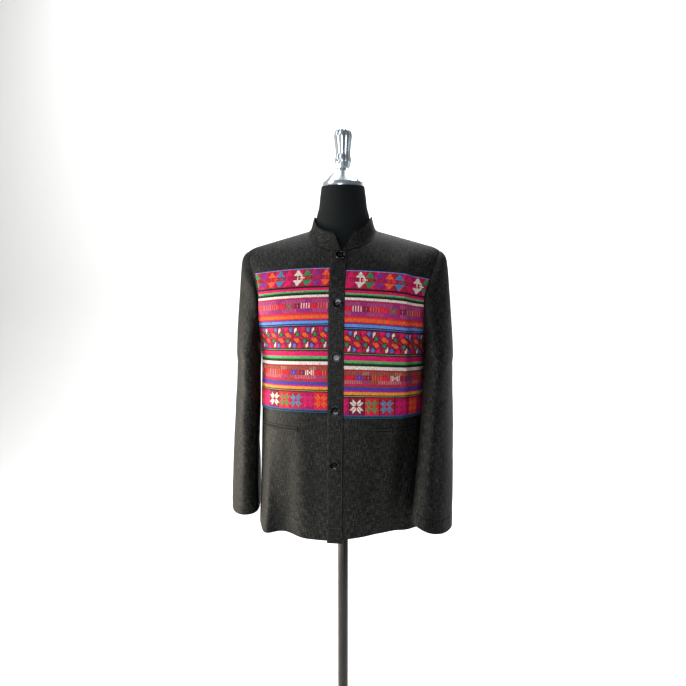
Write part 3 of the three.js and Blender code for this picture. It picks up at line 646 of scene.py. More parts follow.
# Cotton sewing and weaving thread, bright-dyed and unmercerised: soft, with a slight sheen.
PLY = 1.0                        # width in mm of a thread's strand, shown a little coarse
TWIST = 7                        # length in mm over which its shade changes
bright_threads, tree, surface = new_material(
    "bright_cotton_threads", Roughness=0.7, Specular_IOR_Level=0.2, Sheen_Weight=0.02
)
panel_map = add_node(tree, "ShaderNodeUVMap")
dyed_thread = add_node(tree, "ShaderNodeAttribute", {"attribute_name": "thread"})
stretched = add_node(
    tree, "ShaderNodeMapping", Vector=panel_map, Scale=(1000 / PLY, 1000 / TWIST, 1)
)
twist = add_node(
    tree, "ShaderNodeTexNoise", Vector=stretched, Scale=1.0, Detail=2.0, Roughness=0.5
)
ribs = add_node(
    tree, "ShaderNodeTexWave", {"bands_direction": "X"},
    Vector=panel_map, Scale=1000 / STITCH / 20 * math.pi, Distortion=0.0,
).outputs["Fac"]
thread_shade = add_node(tree, "ShaderNodeValToRGB", Fac=twist)
set_ramp(thread_shade, [(0.32, "808080"), (0.58, "ffffff")])
shaded = add_node(
    tree, "ShaderNodeMix", {"data_type": "RGBA", "blend_type": "MULTIPLY"},
    in0=0.8, in6=dyed_thread, in7=thread_shade,
)
ribbed = add_node(tree, "ShaderNodeMath", {"operation": "ADD"}, in0=ribs, in1=twist)
relief = add_node(tree, "ShaderNodeBump", Height=ribbed, Strength=0.5, Distance=0.0005)
feed(surface, Base_Color=shaded.outputs[2], Normal=relief)


PANEL_COLUMNS = 128              # of stitches, enough for the widest row
PANEL_SAMPLES = 80
PANEL_INSET = 1.5                # from the armhole and the side seam
YOKE_INSET = {"right": 9, "left": 1.5}
YOKE_FROM_Z = 1290               # the inset changes over the next 70 mm


def panel_row(name, share):
    """Places one stitch apart along the panel at a share of its height, bottom to top. Past
    the panel's cut edge they all fall on the edge."""
    side, panel, face = SIDES[name], PANELS[name], FACES[name]
    edge = mix(panel["bottom_edge"], panel["top_edge"], share)
    centre = mix(panel["bottom_centre"], panel["top_centre"], share)
    reach = edge_x(edge)
    start = PLACKET_HALF + 2 * SEAM
    samples = []
    for i in range(PANEL_SAMPLES + 1):
        x = mix(start, reach, round_the_plan(i / PANEL_SAMPLES))
        z = mix(edge, centre, 1 - (x / reach) ** 2)
        samples.append((x, z, Vector((x, depth_at(x, z, face), z))))
    run = run_along([point for _, _, point in samples])
    cut = mix(PANEL_INSET, YOKE_INSET[name], clamp((edge - YOKE_FROM_Z) / 70))
    row, k = [], 0
    for i in range(PANEL_COLUMNS + 1):
        distance = min(STITCH * i, run[-1] - cut)
        while run[k + 1] < distance:
            k += 1
        f = (distance - run[k]) / (run[k + 1] - run[k])
        row.append((
            side * mix(samples[k][0], samples[k + 1][0], f),
            mix(samples[k][1], samples[k + 1][1], f),
        ))
    return row


def close_up(piece, weld=True, fill=False, turn=True):
    """Joins corners that share a place, closes open ends, or turns the faces outward."""
    apply_all(piece)
    bpy.ops.object.mode_set(mode="EDIT")
    bpy.ops.mesh.select_all(action="SELECT")
    if weld:
        bpy.ops.mesh.remove_doubles(threshold=0.00001)
    if fill:
        bpy.ops.mesh.fill_holes(sides=0)
        bpy.ops.mesh.select_all(action="SELECT")
    if turn:
        bpy.ops.mesh.normals_make_consistent(inside=False)
    bpy.ops.object.mode_set(mode="OBJECT")


for name, side in SIDES.items():
    shares, threads = [1.0], []
    whole = sum(band[0] for band in BANDS)
    for height, *band in BANDS:
        count = band[0] if len(band) == 2 else len(band[0])
        for i in range(count):
            shares.append(shares[-1] - height / whole / count)
            if len(band) == 1:
                threads.append([(band[0][i], False)] * PANEL_COLUMNS)
                continue
            columns = [c if side > 0 else -1 - c for c in range(PANEL_COLUMNS)]
            letters = [panel_thread(name, band[1], i, column) for column in columns]
            threads.append([(letter, letter not in GROUNDS) for letter in letters])
    shares[-1] = 0.0
    shares.reverse()
    threads.reverse()
    rows = []
    for r, share in enumerate(shares):
        row = []
        places = panel_row(name, share)
        for c, (x, z) in enumerate(places):
            around = [
                threads[i][j][1] for i in (r - 1, r) for j in (c - 1, c)
                if 0 <= i < len(threads) and 0 <= j < PANEL_COLUMNS
            ]
            at_edge = (x, z) == places[-1]
            worked = 0.0 if at_edge else RAISED * sum(around) / len(around)
            row.append(cloth_point(x, z, FACES[name], CLOTH + SEAM + worked))
        rows.append(row)
    panel = lay_grid(f"chest_panel_{name}_cloth", rows)
    dyes = panel.data.color_attributes.new("thread", "BYTE_COLOR", "CORNER")
    shade = random.Random(7 if name == "right" else 8)
    for r, row in enumerate(threads):
        for c, (letter, _) in enumerate(row):
            polygon = panel.data.polygons[r * PANEL_COLUMNS + c]
            worn = shade.uniform(0.84, 1.0)     # no two stitches are quite one shade
            tint = [channel * worn for channel in colour(THREADS[letter])[:3]]
            for loop in polygon.loop_indices:
                dyes.data[loop].color = (*tint, 1.0)
    close_up(panel, turn=False)
    make_up(
        panel, (0, 0.1, 1.15), f"chest_panel_{name}", cloth=bright_threads,
        slot="panel_cloth", thickness=PANEL_CLOTH, edge=0.3,
    )

# ---- Placket ----------------------------------------------------------------------------
# A folded strip of the shirt cloth down the left front's edge. It covers the opening, and
# is topstitched along both sides.

PLACKET_CLOTH = 2                # folded over its own turnings
PLACKET_BOTTOM = 792
rows = []
for i in range(131):
    row = []
    for k in range(13):
        x = mix(-PLACKET_HALF, PLACKET_HALF, k / 12)
        top = neck_place(x, NECK["front_z"])[1] - 1.5
        z = mix(PLACKET_BOTTOM, top, i / 130)
        tilt = 0.35 * math.sin(z / 31) * math.cos(z / 83)     # pressed, but not quite flat
        row.append(cloth_point(x, z, FACES["right"], CLOTH + SEAM + tilt * (k / 12 - 0.5)))
    rows.append(row)
make_up(
    lay_grid("placket_strip", rows), (0, 0.1, 1.15), "placket",
    thickness=PLACKET_CLOTH, edge=0.7,
)

# ---- Pockets ----------------------------------------------------------------------------
# A double-welt pocket in each front, just under the chest panel: a slit between two narrow
# folded strips, with the pocket bag showing in it, painted near-black for the shade in the slit.

goes_with = {}                   # the small pieces on each sheet of cloth
POCKET = {"from_x": 85, "to_x": 178.5, "z": 1045, "welt": 4.6, "slit": 2.4}
# Thin plain cotton for the pocket bag, wholly matt, coloured near-black as painted shade in the
# slit.
pocket_bag_shade = new_material("pocket_bag_painted_shade", "070707", Roughness=0.95)[0]


def pocket_row(name, z, lift=0.0, inset=0):
    """Places along the slit's length at a height, with how far they stand off the front."""
    from_x, to_x = POCKET["from_x"] + inset, POCKET["to_x"] - inset
    return [
        cloth_point(SIDES[name] * mix(from_x, to_x, i / 40), z, FACES[name], CLOTH + lift)
        for i in range(41)
    ]


for name in SIDES:
    slit, welt = POCKET["slit"], POCKET["welt"]
    # The bag's near-black is painted shade: the dark inside of the pocket, seen through the slit.
    bag = lay_grid(f"pocket_{name}_bag", [
        pocket_row(name, POCKET["z"] + (k - 1.5) * slit * 0.5, SEAM, inset=1) for k in range(4)
    ])
    make_up(bag, (0, 0.1, 1.0), cloth=pocket_bag_shade, thickness=0.3, edge=0.1)
    goes_with[f"front_{name}_cloth"] = [bag]
    for place, low in (
        ("upper", POCKET["z"] + slit / 2), ("lower", POCKET["z"] - slit / 2 - welt)
    ):
        strip = lay_grid(f"pocket_{name}_{place}_strip", [
            pocket_row(name, low + welt * k / 6, 2 * SEAM + 0.5 * math.sin(math.pi * k / 6))
            for k in range(7)
        ])
        node = f"pocket_{name}_{place}_welt"
        make_up(strip, (0, 0.1, 1.0), node, thickness=1.0, edge=0.35)
        goes_with[f"front_{name}_cloth"].append(strip)

# ---- Sleeves ----------------------------------------------------------------------------
# One-piece sleeves set in by hand, a little full at the head. The right one hangs straight
# and the left one swings forward. Each is turned up 29 mm at the wrist and topstitched.

SLEEVES = {                      # sections across the tube, from above the elbow to the wrist
    "right": table(
        "z x y wide deep turn rise",
        (1190, 228, 0, 28.5, 80, 12, 6), (1100, 231, -3, 29.5, 76, 15, 2),
        (1000, 236, -5, 31, 71, 17, 0), (900, 239.5, -8, 31, 68, 20, 2),
        (821, 240.5, -10, 31.5, 64, 22, 3),
    ),
    "left": table(
        "z x y wide deep turn rise",
        (1190, 226.5, -14, 31.5, 80, 5, 6), (1100, 225, -32, 33, 76, 10, 6),
        (1000, 223, -54, 34, 71, 17, 8), (910, 219, -80, 36, 66, 23, 11),
        (836, 215, -100, 38.5, 62, 27, 17),
    ),
}
SLEEVE_CREASES = {               # from degrees, z   to degrees, z   width   depth
    # A degree round the sleeve is about a millimetre of cloth.
    "right": [
        (20, 1395, 60, 1320, 9, -1.6), (40, 1400, 85, 1345, 9, 1.2),
        (75, 1330, 110, 1240, 13, -2.0), (50, 1230, 120, 1150, 14, 1.8),
        (30, 1150, 100, 1080, 13, -2.0), (40, 1060, 110, 1010, 12, 1.6),
        (60, 1030, 50, 850, 13, -1.2), (112, 1120, 104, 850, 12, -1.6),
        (20, 980, 75, 940, 11, -1.4), (35, 900, 95, 872, 10, 1.2),
        (200, 1280, 150, 1160, 15, 1.6), (300, 1150, 250, 1070, 16, -2.2),
        (290, 1060, 240, 1010, 14, 1.8), (260, 980, 265, 850, 15, 1.5),
        (202, 985, 204, 755, 26, 11),
    ],
    "left": [
        (20, 1395, 62, 1310, 9, -1.5), (50, 1390, 90, 1330, 10, 1.3),
        (70, 1320, 115, 1230, 12, -1.9), (35, 1200, 110, 1130, 14, 1.7),
        (30, 1130, 105, 1070, 13, -1.9), (80, 1100, 70, 860, 16, 2.2),
        (45, 1040, 40, 870, 14, -1.8), (100, 1060, 105, 880, 12, -1.4),
        (30, 960, 95, 925, 11, 1.3), (200, 1270, 150, 1150, 15, 1.6),
        (300, 1140, 250, 1060, 16, -2.0), (280, 1040, 235, 990, 14, 1.8),
        (190, 1268, 190, 1150, 30, 4.5),
    ],
}
CUFF = 29                        # depth turned up at the wrist
CUFF_STITCHES = 29.2             # height of their ring
SLEEVE_ROUND = 2.2               # squareness of the tube
HEAD_FULLNESS = {"over": 15, "under": 9}


def armhole_loop(name, offset, aside, count=96):
    """The armhole from the shoulder tip down the front, under the arm and up the back, moved
    out from the cloth's inside face by offset and into the sleeve by aside."""
    side = SIDES[name]
    heart = Vector((side * 250, 0, 1330))
    stations = []
    for i in range(count):
        angle = 2 * math.pi * i / count
        face = FACES[name] if angle <= math.pi else FACES["back"]
        z = armhole_z(math.pi - angle if angle <= math.pi else angle - math.pi)
        x = side * edge_x(z)
        point = cloth_point(x, z, face, offset)
        if i in (0, count // 2):
            point.y = 0
        stations.append((angle, point, outward_at(x, z, face)))
    loop = []
    for i, (angle, point, out) in enumerate(stations):
        before, after = stations[i - 1][1], stations[(i + 1) % count][1]
        away = (after - before).cross(out).normalized()
        if away.dot(heart - point) < 0:
            away.negate()
        loop.append((angle, point + away * aside))
    return loop


def sleeve_section(name, z, angle):
    """A place on the tube: angle 0 is its outer edge and a quarter turn on is its front."""
    columns = ("x", "y", "wide", "deep", "turn", "rise")
    read = {column: along(SLEEVES[name], column, z) for column in columns}
    cos, sin = math.cos(angle), math.sin(angle)
    out = read["wide"] * math.copysign(abs(cos) ** (2 / SLEEVE_ROUND), cos)
    forward = read["deep"] * math.copysign(abs(sin) ** (2 / SLEEVE_ROUND), sin)
    turn = math.radians(read["turn"])
    x = read["x"] + out * math.cos(turn) - forward * math.sin(turn)
    y = read["y"] - out * math.sin(turn) - forward * math.cos(turn)
    return Vector((SIDES[name] * x, y, z - read["rise"] * out / read["wide"]))


def sleeve_rings(name):
    """Rings down the sleeve, each with its height above the wrist or, in the head, None."""
    side, loop = SIDES[name], armhole_loop(name, CLOTH, 1.5 * SEAM)
    top = SLEEVES[name][0]["z"]
    rings = [([point for _, point in loop], None)]
    for f in (0.006, 0.014, 0.025, 0.04, 0.06, 0.085, 0.11, 0.14, 0.18, 0.22, 0.27, 0.32, 0.38,
              0.44, 0.51, 0.58, 0.65, 0.72, 0.79, 0.86, 0.93, 1.0):
        full = HEAD_FULLNESS["over"] * (1 - (1 - f) ** 30) * math.sqrt(1 - f)
        ring = []
        for angle, point in loop:
            at = point.lerp(sleeve_section(name, top, angle), f)
            under = HEAD_FULLNESS["under"] * math.sqrt(max(0, -math.cos(angle))) * (1 - f)
            at.x += side * (full * max(0, math.cos(angle)) + under * (1 - (1 - f) ** 6))
            at.y -= 0.3 * full * math.sin(angle)
            at.z += under * (1 - (1 - f) ** 9)
            ring.append(at)
        rings.append((ring, None))
    wrist = SLEEVES[name][-1]["z"]
    heights = [*range(int(top - wrist) - 8, 40, -8), 36, 32, 30.4, CUFF_STITCHES]
    for height in [*heights, 28, 26.4, 22, 16, 10, 5, 1, 0]:
        ring = [sleeve_section(name, wrist + height, angle) for angle, _ in loop]
        rings.append((ring, height))
    return rings


def creased_sleeve(name):
    """The rings with the sleeve's creases, its turned-up end and the cloth's unevenness. They
    start at the wrist and at the seam under the arm, so the weave runs straight outside."""
    rows = []
    rings = sleeve_rings(name)
    for r, (ring, height) in enumerate(rings):
        row = []
        middle = sum(ring, Vector()) / len(ring)
        calm = clamp(r / 6)
        for i, point in enumerate(ring):
            degrees = 360 * i / len(ring)
            lift = unevenness(*point) + crease_lift(degrees, point.z, SLEEVE_CREASES[name])
            before, after = ring[i - 1], ring[(i + 1) % len(ring)]
            out = Vector((after.y - before.y, before.x - after.x, 0)).normalized()
            if out.dot(point - middle) < 0:
                out.negate()
            full = 0.0 if height is None else turned_up(height, CUFF)
            row.append(point + out * (calm * lift + full))
        under = len(row) // 2
        rows.append([*row[under:], *row[:under], row[under].copy()])
    return rows[::-1]


for name, side in SIDES.items():
    sleeve = lay_grid(f"sleeve_{name}_cloth", creased_sleeve(name))
    close_up(sleeve)
    make_up(sleeve, (side * 0.23, -0.03, 1.1), f"sleeve_{name}", outward=False)

# The seam allowances, pressed flat inside the armholes, side seams and shoulder seams.
INSIDE = -0.9                    # their depth behind the cloth's inner face
ARMHOLE_REACH = (-4, -2, 0, 2)   # across the seam, into the sleeve
SEAM_REACH = (-3, -1, 1, 3)


def press_inside(name, rows, heart=(0, 0, 1)):
    return make_up(lay_grid(name, rows), heart, thickness=0.5, edge=0.1)


def press_open(name, places):
    """The allowance of a seam between the fronts and the back, pressed open."""
    seam = [cloth_point(x, z, FACES["back"], INSIDE) for x, z in places]
    return press_inside(name, [[Vector((p.x, y, p.z)) for y in SEAM_REACH] for p in seam])


goes_with["back_cloth"] = []
for name, side in SIDES.items():
    rows = []
    for reach in ARMHOLE_REACH:
        loop = [point for _, point in armhole_loop(name, INSIDE, reach)]
        rows.append([*loop, loop[0]])
    armhole = press_inside(f"armhole_allowance_{name}", rows, (0, 0, 1.3))
    goes_with[f"sleeve_{name}_cloth"] = [armhole]
    heights = [mix(HEM_Z + 3, UNDERARM_Z - 1, i / 40) for i in range(41)]
    reaches = [side * mix(NECK["half_width"] + 2, TIP_X - 2, i / 24) for i in range(25)]
    goes_with["back_cloth"] += [
        press_open(f"side_allowance_{name}", [(side * edge_x(z), z) for z in heights]),
        press_open(f"shoulder_allowance_{name}", [(x, shoulder_z(x)) for x in reaches]),
    ]

# ---- Collar -----------------------------------------------------------------------------
# A stand-up band of two layers and a stiffener, sewn to the neckline. Its front ends slant
# apart and are rounded, and it is topstitched near both edges.

COLLAR_CLOTH = 2.4
COLLAR = {
    "rise": 40, "rise_at_sides": 34, "lean_in": 10, "lean_in_at_sides": 14,
    "lean_in_behind": 3, "spring_out": 8, "slant_reach": 90,
}
NECK_STEPS = 26                  # to each quarter of the neckline
COLLAR_ENDS = {
    "right": {"x": 5, "slant": 9, "round": 19, "end_height": 0.45},
    "left": {"x": 6.5, "slant": 24, "round": 15, "end_height": 0.6},
}


def neck_arc(face, neck_z, first, last, shares, side=1):
    """Places along part of the neckline's oval, each with the face of the shirt it is on."""
    places = []
    for share in shares:
        x = side * NECK["half_width"] * math.sin(mix(first, last, share))
        places.append((x, neck_place(x, neck_z)[1], face))
    return places


def neckline():
    """The neckline from the right front's end, round the back, to the left front's."""
    half, quarter = NECK["half_width"], math.pi / 2
    front, behind = (FACES["right"], NECK["front_z"]), (FACES["back"], NECK["back_z"])
    right, left = (math.asin(COLLAR_ENDS[name]["x"] / half) for name in SIDES)
    shares = [i / NECK_STEPS for i in range(NECK_STEPS)]
    round_back = [i / (2 * NECK_STEPS) for i in range(2 * NECK_STEPS + 1)]
    stations = neck_arc(*front, -right, quarter, shares, side=-1)
    stations += neck_arc(*behind, -quarter, quarter, round_back)
    stations += neck_arc(*front, left, quarter, reversed(shares))
    points = []
    for x, z, station in stations:
        y = 0 if abs(x) > half - 0.01 else station["sign"] * (depth_at(x, z, station) + SEAM / 2)
        points.append(Vector((x, y, z)))
    result = []
    above = Vector((0, 0, NECK["side_z"] + COLLAR["rise"]))
    for i, (point, (x, z, station)) in enumerate(zip(points, stations)):
        before, after = points[max(i - 1, 0)], points[min(i + 1, len(points) - 1)]
        inward = (after - before).cross(outward_at(x, z, station)).normalized()
        if inward.dot(above - point) < 0:
            inward.negate()
        result.append((point + inward * SEAM, inward))
    return result


neck_frames = neckline()
neck_run = run_along([point for point, _ in neck_frames])
neck_total = neck_run[-1]


def neck_frame(distance):
    distance = clamp(distance, 0, neck_total)
    k = next(i for i in range(len(neck_run) - 1) if distance <= neck_run[i + 1])
    f = (distance - neck_run[k]) / (neck_run[k + 1] - neck_run[k])
    point = neck_frames[k][0].lerp(neck_frames[k + 1][0], f)
    return point, neck_frames[k][1].lerp(neck_frames[k + 1][1], f).normalized()


def collar_place(distance, share):
    """A place on the band's inside face: along the neckline, and up as a share of it."""
    near_right = distance < neck_total / 2
    end = COLLAR_ENDS["right" if near_right else "left"]
    from_end = distance if near_right else neck_total - distance
    slide = end["slant"] * share * max(0, 1 - from_end / COLLAR["slant_reach"])
    corner = 1 - math.sqrt(1 - max(0, 1 - from_end / end["round"]) ** 2)
    height = 1 - (1 - end["end_height"]) * corner
    point, inward = neck_frame(distance + (slide if near_right else -slide))
    radial = Vector((point.x, point.y, 0)).normalized()
    spring = point + inward * COLLAR["spring_out"]
    sideways = abs(radial.x) ** 2
    level = COLLAR["lean_in"] if point.y < 0 else COLLAR["lean_in_behind"]
    top = point - radial * mix(level, COLLAR["lean_in_at_sides"], sideways)
    top.z += mix(COLLAR["rise"], COLLAR["rise_at_sides"], sideways)
    w = share * height
    wavy = 0.5 * math.sin(distance / 17) * w     # the band isn't quite flat
    return point.lerp(spring, w).lerp(spring.lerp(top, w), w) + radial * wavy


ends = [0, 0.3, 0.8, 1.6, 2.8, 4.4, 6.4, 8.8, 11.6, 14.8, 18.4, 22]
between = [mix(ends[-1], neck_total - ends[-1], i / 90) for i in range(1, 90)]
distances = [*ends, *between, *(neck_total - d for d in reversed(ends))]
rows = [[collar_place(distance, i / 18) for distance in distances] for i in range(19)]
make_up(
    lay_grid("collar_band", rows), (0, 0, 1.49), "collar", thickness=COLLAR_CLOTH, edge=0.9
)

# ---- Topstitching -----------------------------------------------------------------------
# Rows of charcoal cotton sewing thread, 3.4 mm to the stitch, along the hem, the cuffs, the
# placket, the collar and the pockets. Each stitch lies in the dip that it pulls in the cloth.

# Spun cotton thread, matt, a shade lighter than the cloth.
sewing_thread = new_material("charcoal_sewing_cotton", "4a4943", Roughness=0.6)[0]
PITCH = 3.4
HEM_FROM_X = 26                  # where the hem's stitches meet the placket's
FACING = {"x": 25, "to_z": 885}  # the right front's edge, stitched down above its hem
POCKET_BOX = {"out": 2, "low": -8.4, "high": 8.0}     # round the pair of welts
PLACKET_ROW = 2.6                # from the placket's edge
THREAD_LIES = {"half_length": 1.25, "half_width": 0.28, "high": 0.3, "deep": 0.25, "lift": 0.12}


def sew(name, lines):
    """One mesh of stitches, each a slim lozenge, along each line of place, way out pairs."""
    corners, faces = [], []
    for line in lines:
        left = PITCH * 0.5
        for (here, out), (there, _) in zip(line, line[1:]):
            span = (there - here).length
            if span < 1e-6:
                continue
            ahead = (there - here) / span
            across = ahead.cross(out).normalized()
            while left < span:
                middle = here + ahead * left + out * THREAD_LIES["lift"]
                along_it = ahead * THREAD_LIES["half_length"]
                across_it = across * THREAD_LIES["half_width"]
                start = len(corners)
                corners += [
                    middle - along_it, middle + across_it, middle + along_it, middle - across_it,
                    middle + out * THREAD_LIES["high"], middle - out * THREAD_LIES["deep"],
                ]
                for a, b in ((0, 1), (1, 2), (2, 3), (3, 0)):
                    faces += [(start + a, start + b, start + 4), (start + b, start + a, start + 5)]
                left += PITCH
            left -= span
    mesh = bpy.data.meshes.new(name)
    mesh.from_pydata([corner * MM for corner in corners], [], faces)
    piece = bpy.data.objects.new(name, mesh)
    bpy.context.collection.objects.link(piece)
    close_up(piece, weld=False)
    place_on_form(piece, sewing_thread, "shirt_cloth")


def cloth_line(places, face, offset):
    return [(cloth_point(x, z, face, offset), outward_at(x, z, face)) for x, z in places]


for name, side in SIDES.items():
    face = FACES[name]
    hem = []
    for i in range(61):
        x = side * mix(HEM_FROM_X, HALF_HEM - 1, round_the_plan(i / 60))
        hem.append((x, hem_z(x, face) + HEM))
    lines = [cloth_line(hem, face, CLOTH)]
    if name == "right":
        edge = [(-FACING["x"], z) for z in range(HEM_Z, FACING["to_z"], 5)]
        lines.append(cloth_line(edge, face, CLOTH))
    sew(f"front_{name}_stitches", lines)
    from_x, to_x, z = POCKET["from_x"] - POCKET_BOX["out"], POCKET["to_x"], POCKET["z"]
    lengthwise = [side * mix(from_x, to_x, i / 30) for i in range(31)]
    sew(f"pocket_{name}_stitches", [
        cloth_line([(x, z + POCKET_BOX["low"]) for x in lengthwise], face, CLOTH),
        cloth_line([(x, z + POCKET_BOX["high"]) for x in lengthwise], face, CLOTH),
        cloth_line([(side * from_x, z + h) for h in range(-8, 9, 2)], face, CLOTH),
    ])
    heights = [height for _, height in sleeve_rings(name)]
    ring = creased_sleeve(name)[-1 - heights.index(CUFF_STITCHES)]
    middle = sum(ring[:-1], Vector()) / (len(ring) - 1)
    sew(f"sleeve_{name}_stitches", [[
        (point, Vector((point.x - middle.x, point.y - middle.y, 0)).normalized())
        for point in ring
    ]])

face = FACES["back"]
hem = []
for i in range(121):
    x = (HALF_HEM - 1) * math.sin(mix(-math.pi / 2, math.pi / 2, i / 120))
    hem.append((x, hem_z(x, face) + HEM))
sew("back_stitches", [cloth_line(hem, face, CLOTH)])

sew("placket_stitches", [
    cloth_line(places, FACES["right"], CLOTH + SEAM + PLACKET_CLOTH) for places in (
        [(PLACKET_ROW - PLACKET_HALF, z) for z in range(PLACKET_BOTTOM + 2, 1440, 6)],
        [(PLACKET_HALF - PLACKET_ROW, z) for z in range(PLACKET_BOTTOM + 2, 1440, 6)],
        [(x, PLACKET_BOTTOM + HEM) for x in range(-15, 16, 5)],
    )
])


def collar_line(share, from_end, count=150):
    """A line along the band at a share of its height, from near one end to the other."""
    line = []
    for i in range(count + 1):
        d = mix(from_end, neck_total - from_end, i / count)
        point = collar_place(d, share)
        ahead = collar_place(d + 0.5, share) - collar_place(d - 0.5, share)
        up = collar_place(d, share + 0.02) - collar_place(d, share - 0.02)
        out = ahead.cross(up).normalized()
        if out.x * point.x + out.y * point.y < 0:
            out.negate()
        line.append((point + out * COLLAR_CLOTH, out))
    return line


sew("collar_stitches", [collar_line(0.9, 6), collar_line(0.1, 4)])

# ---- Buttons ----------------------------------------------------------------------------
# Five turned polyester buttons, 22 mm across, glossy black, with a raised rim, a dished
# middle and four holes, sewn on with black thread and done up through the placket.

BUTTON = {
    "radius": 11, "thickness": 3.4, "rim": 2.6, "dish": 1.0, "step": 3, "step_depth": 0.3,
    "hole": 1.0, "spread": 2.2, "edge": 0.5, "back_inset": 2,
}
BUTTON_PLACES = [(3, 1431), (2.5, 1326), (1, 1209), (0, 1091), (-1, 970)]
# Cast black polyester, turned and tumbled to a gloss that is finely scuffed.
button_plastic, tree, surface = new_material(
    "polished_black_polyester", "050506", IOR=1.54, Specular_IOR_Level=0.3
)
place = add_node(tree, "ShaderNodeTexCoord").outputs["Object"]
scuffs = add_node(tree, "ShaderNodeTexNoise", Vector=place, Scale=900.0, Detail=4.0)
gloss = add_node(tree, "ShaderNodeMapRange", Value=scuffs, To_Min=0.1, To_Max=0.24)
feed(surface, Roughness=gloss)
# Waxed black cotton, dusty beside the plastic.
black_thread = new_material("black_button_thread", "2b2a28", Roughness=0.7)[0]


def select_faces(piece, test):
    """In edit mode, selects the faces whose normal's z passes a test."""
    bpy.ops.mesh.select_all(action="DESELECT")
    bpy.ops.object.mode_set(mode="OBJECT")
    for polygon in piece.data.polygons:
        polygon.select = test(polygon.normal.z)
    bpy.ops.object.mode_set(mode="EDIT")


def add_rod(radius, length, sides, place, rotation=(0, 0, 0)):
    """A plain rod, selected alone."""
    bpy.ops.object.select_all(action="DESELECT")
    bpy.ops.mesh.primitive_cylinder_add(
        vertices=sides, radius=radius * MM, depth=length * MM,
        location=Vector(place) * MM, rotation=rotation,
    )
    bpy.ops.object.transform_apply()
    return bpy.context.object


pattern_button = add_rod(BUTTON["radius"], BUTTON["thickness"], 48, (0, 0, BUTTON["thickness"] / 2))
bpy.ops.object.mode_set(mode="EDIT")
bpy.ops.mesh.select_mode(type="FACE")
select_faces(pattern_button, lambda up: up > 0.9)
bpy.ops.mesh.inset(thickness=BUTTON["rim"] / 2 * MM)
bpy.ops.mesh.inset(thickness=BUTTON["rim"] / 2 * MM)
bpy.ops.transform.translate(value=(0, 0, -BUTTON["dish"] * MM))
bpy.ops.mesh.inset(thickness=BUTTON["step"] * MM)
bpy.ops.transform.translate(value=(0, 0, -BUTTON["step_depth"] * MM))
select_faces(pattern_button, lambda up: up < -0.9)
bpy.ops.mesh.inset(thickness=BUTTON["back_inset"] * MM)
bpy.ops.object.mode_set(mode="OBJECT")
round_edges(pattern_button, BUTTON["edge"], 3, 25)
apply_all(pattern_button)
spread = BUTTON["spread"]
for dx in (-spread, spread):
    for dy in (-spread, spread):
        drill = add_rod(BUTTON["hole"], 20, 16, (dx, dy, 0))
        hole = pattern_button.modifiers.new("hole", "BOOLEAN")
        hole.operation = "DIFFERENCE"
        hole.solver = "EXACT"
        hole.object = drill
        apply_all(pattern_button)
        bpy.data.objects.remove(drill)
bpy.ops.object.shade_smooth_by_angle(angle=math.radians(30))

for i, (x, z) in enumerate(BUTTON_PLACES):
    face = FACES["right"]
    seat = cloth_point(x, z, face, CLOTH + SEAM + PLACKET_CLOTH + 2 * SEAM)
    turn = outward_at(x, z, face).to_track_quat("Z", "Y").to_matrix().to_4x4()
    spin = Matrix.Rotation(math.radians(17 * i), 4, "Z")
    place = Matrix.Translation(seat * MM) @ turn @ spin
    button = pattern_button.copy()
    button.data = pattern_button.data.copy()
    button.name = button.data.name = f"button_{i + 1}_disc"
    bpy.context.collection.objects.link(button)
    button.data.transform(place)
    place_on_form(button, button_plastic, "button_plastic", f"button_{i + 1}")
    top = BUTTON["thickness"] - BUTTON["dish"]
    strand, thread = [
        add_rod(0.6, 2 * spread + 1.2, 10, (dx, 0, top), rotation=(math.pi / 2, 0, 0))
        for dx in (-spread, spread)
    ]
    strand.select_set(True)
    bpy.ops.object.join()
    thread.name = thread.data.name = f"button_{i + 1}_thread"
    thread.data.transform(place)
    place_on_form(thread, black_thread, "button_plastic", smooth=40)
bpy.data.objects.remove(pattern_button)

# ---- Dress form -------------------------------------------------------------------------
# A limbless moulded shell with black cotton jersey drawn smooth over it. Only its neck shows
# above the collar. It ends inside the shirt, closed, and its underside shows from below.

FORM = table(
    "z side front back",
    (850, 150, 92, 84), (920, 164, 104, 96), (1010, 158, 100, 88), (1110, 152, 98, 88),
    (1225, 168, 108, 102), (1320, 184, 110, 110), (1400, 197, 108, 110), (1440, 193, 106, 108),
)
FORM_NECK = table(
    "z wide deep",
    (1400, 52, 40), (1450, 62, 49), (1495, 64, 49), (1526, 61.5, 49), (1545, 56.5, 49.5),
    (1563, 54.5, 50), (1593, 50.5, 50.5),
)
FORM_BOTTOM, FORM_SHOULDERS, FORM_TOP = 850, 1400, 1593
FORM_SIDES = 96                  # corners round it


def in_form(x, y, z):
    """Whether a place is in the form's trunk, which is 4 mm lower than the shirt's shoulders."""
    face = FACES["right" if y < 0 else "back"]
    side = along(FORM, "side", z)
    if abs(x) >= side:
        return False
    ridge = shoulder_z(x) - 4
    climb = clamp((z - CHEST_Z) / (ridge - CHEST_Z))
    round_in = rounded(abs(x) / side, SQUARENESS)
    reach = along(FORM, face["reach"], z) * round_in * rounded(climb, face["bow"])
    return z < ridge and abs(y) < reach - 2 * climb


def form_radius(angle, z):
    """How far the trunk or, where it is wider, the neck reaches at an angle and a height."""
    cos, sin = math.cos(angle), math.sin(angle)
    low, high = 0.0, max(row["side"] for row in FORM)
    for _ in range(22):
        middle = (low + high) / 2
        if in_form(middle * cos, middle * sin, z):
            low = middle
        else:
            high = middle
    wide, deep = along(FORM_NECK, "wide", z), along(FORM_NECK, "deep", z)
    return max(low, 1 / math.hypot(cos / wide, sin / deep))


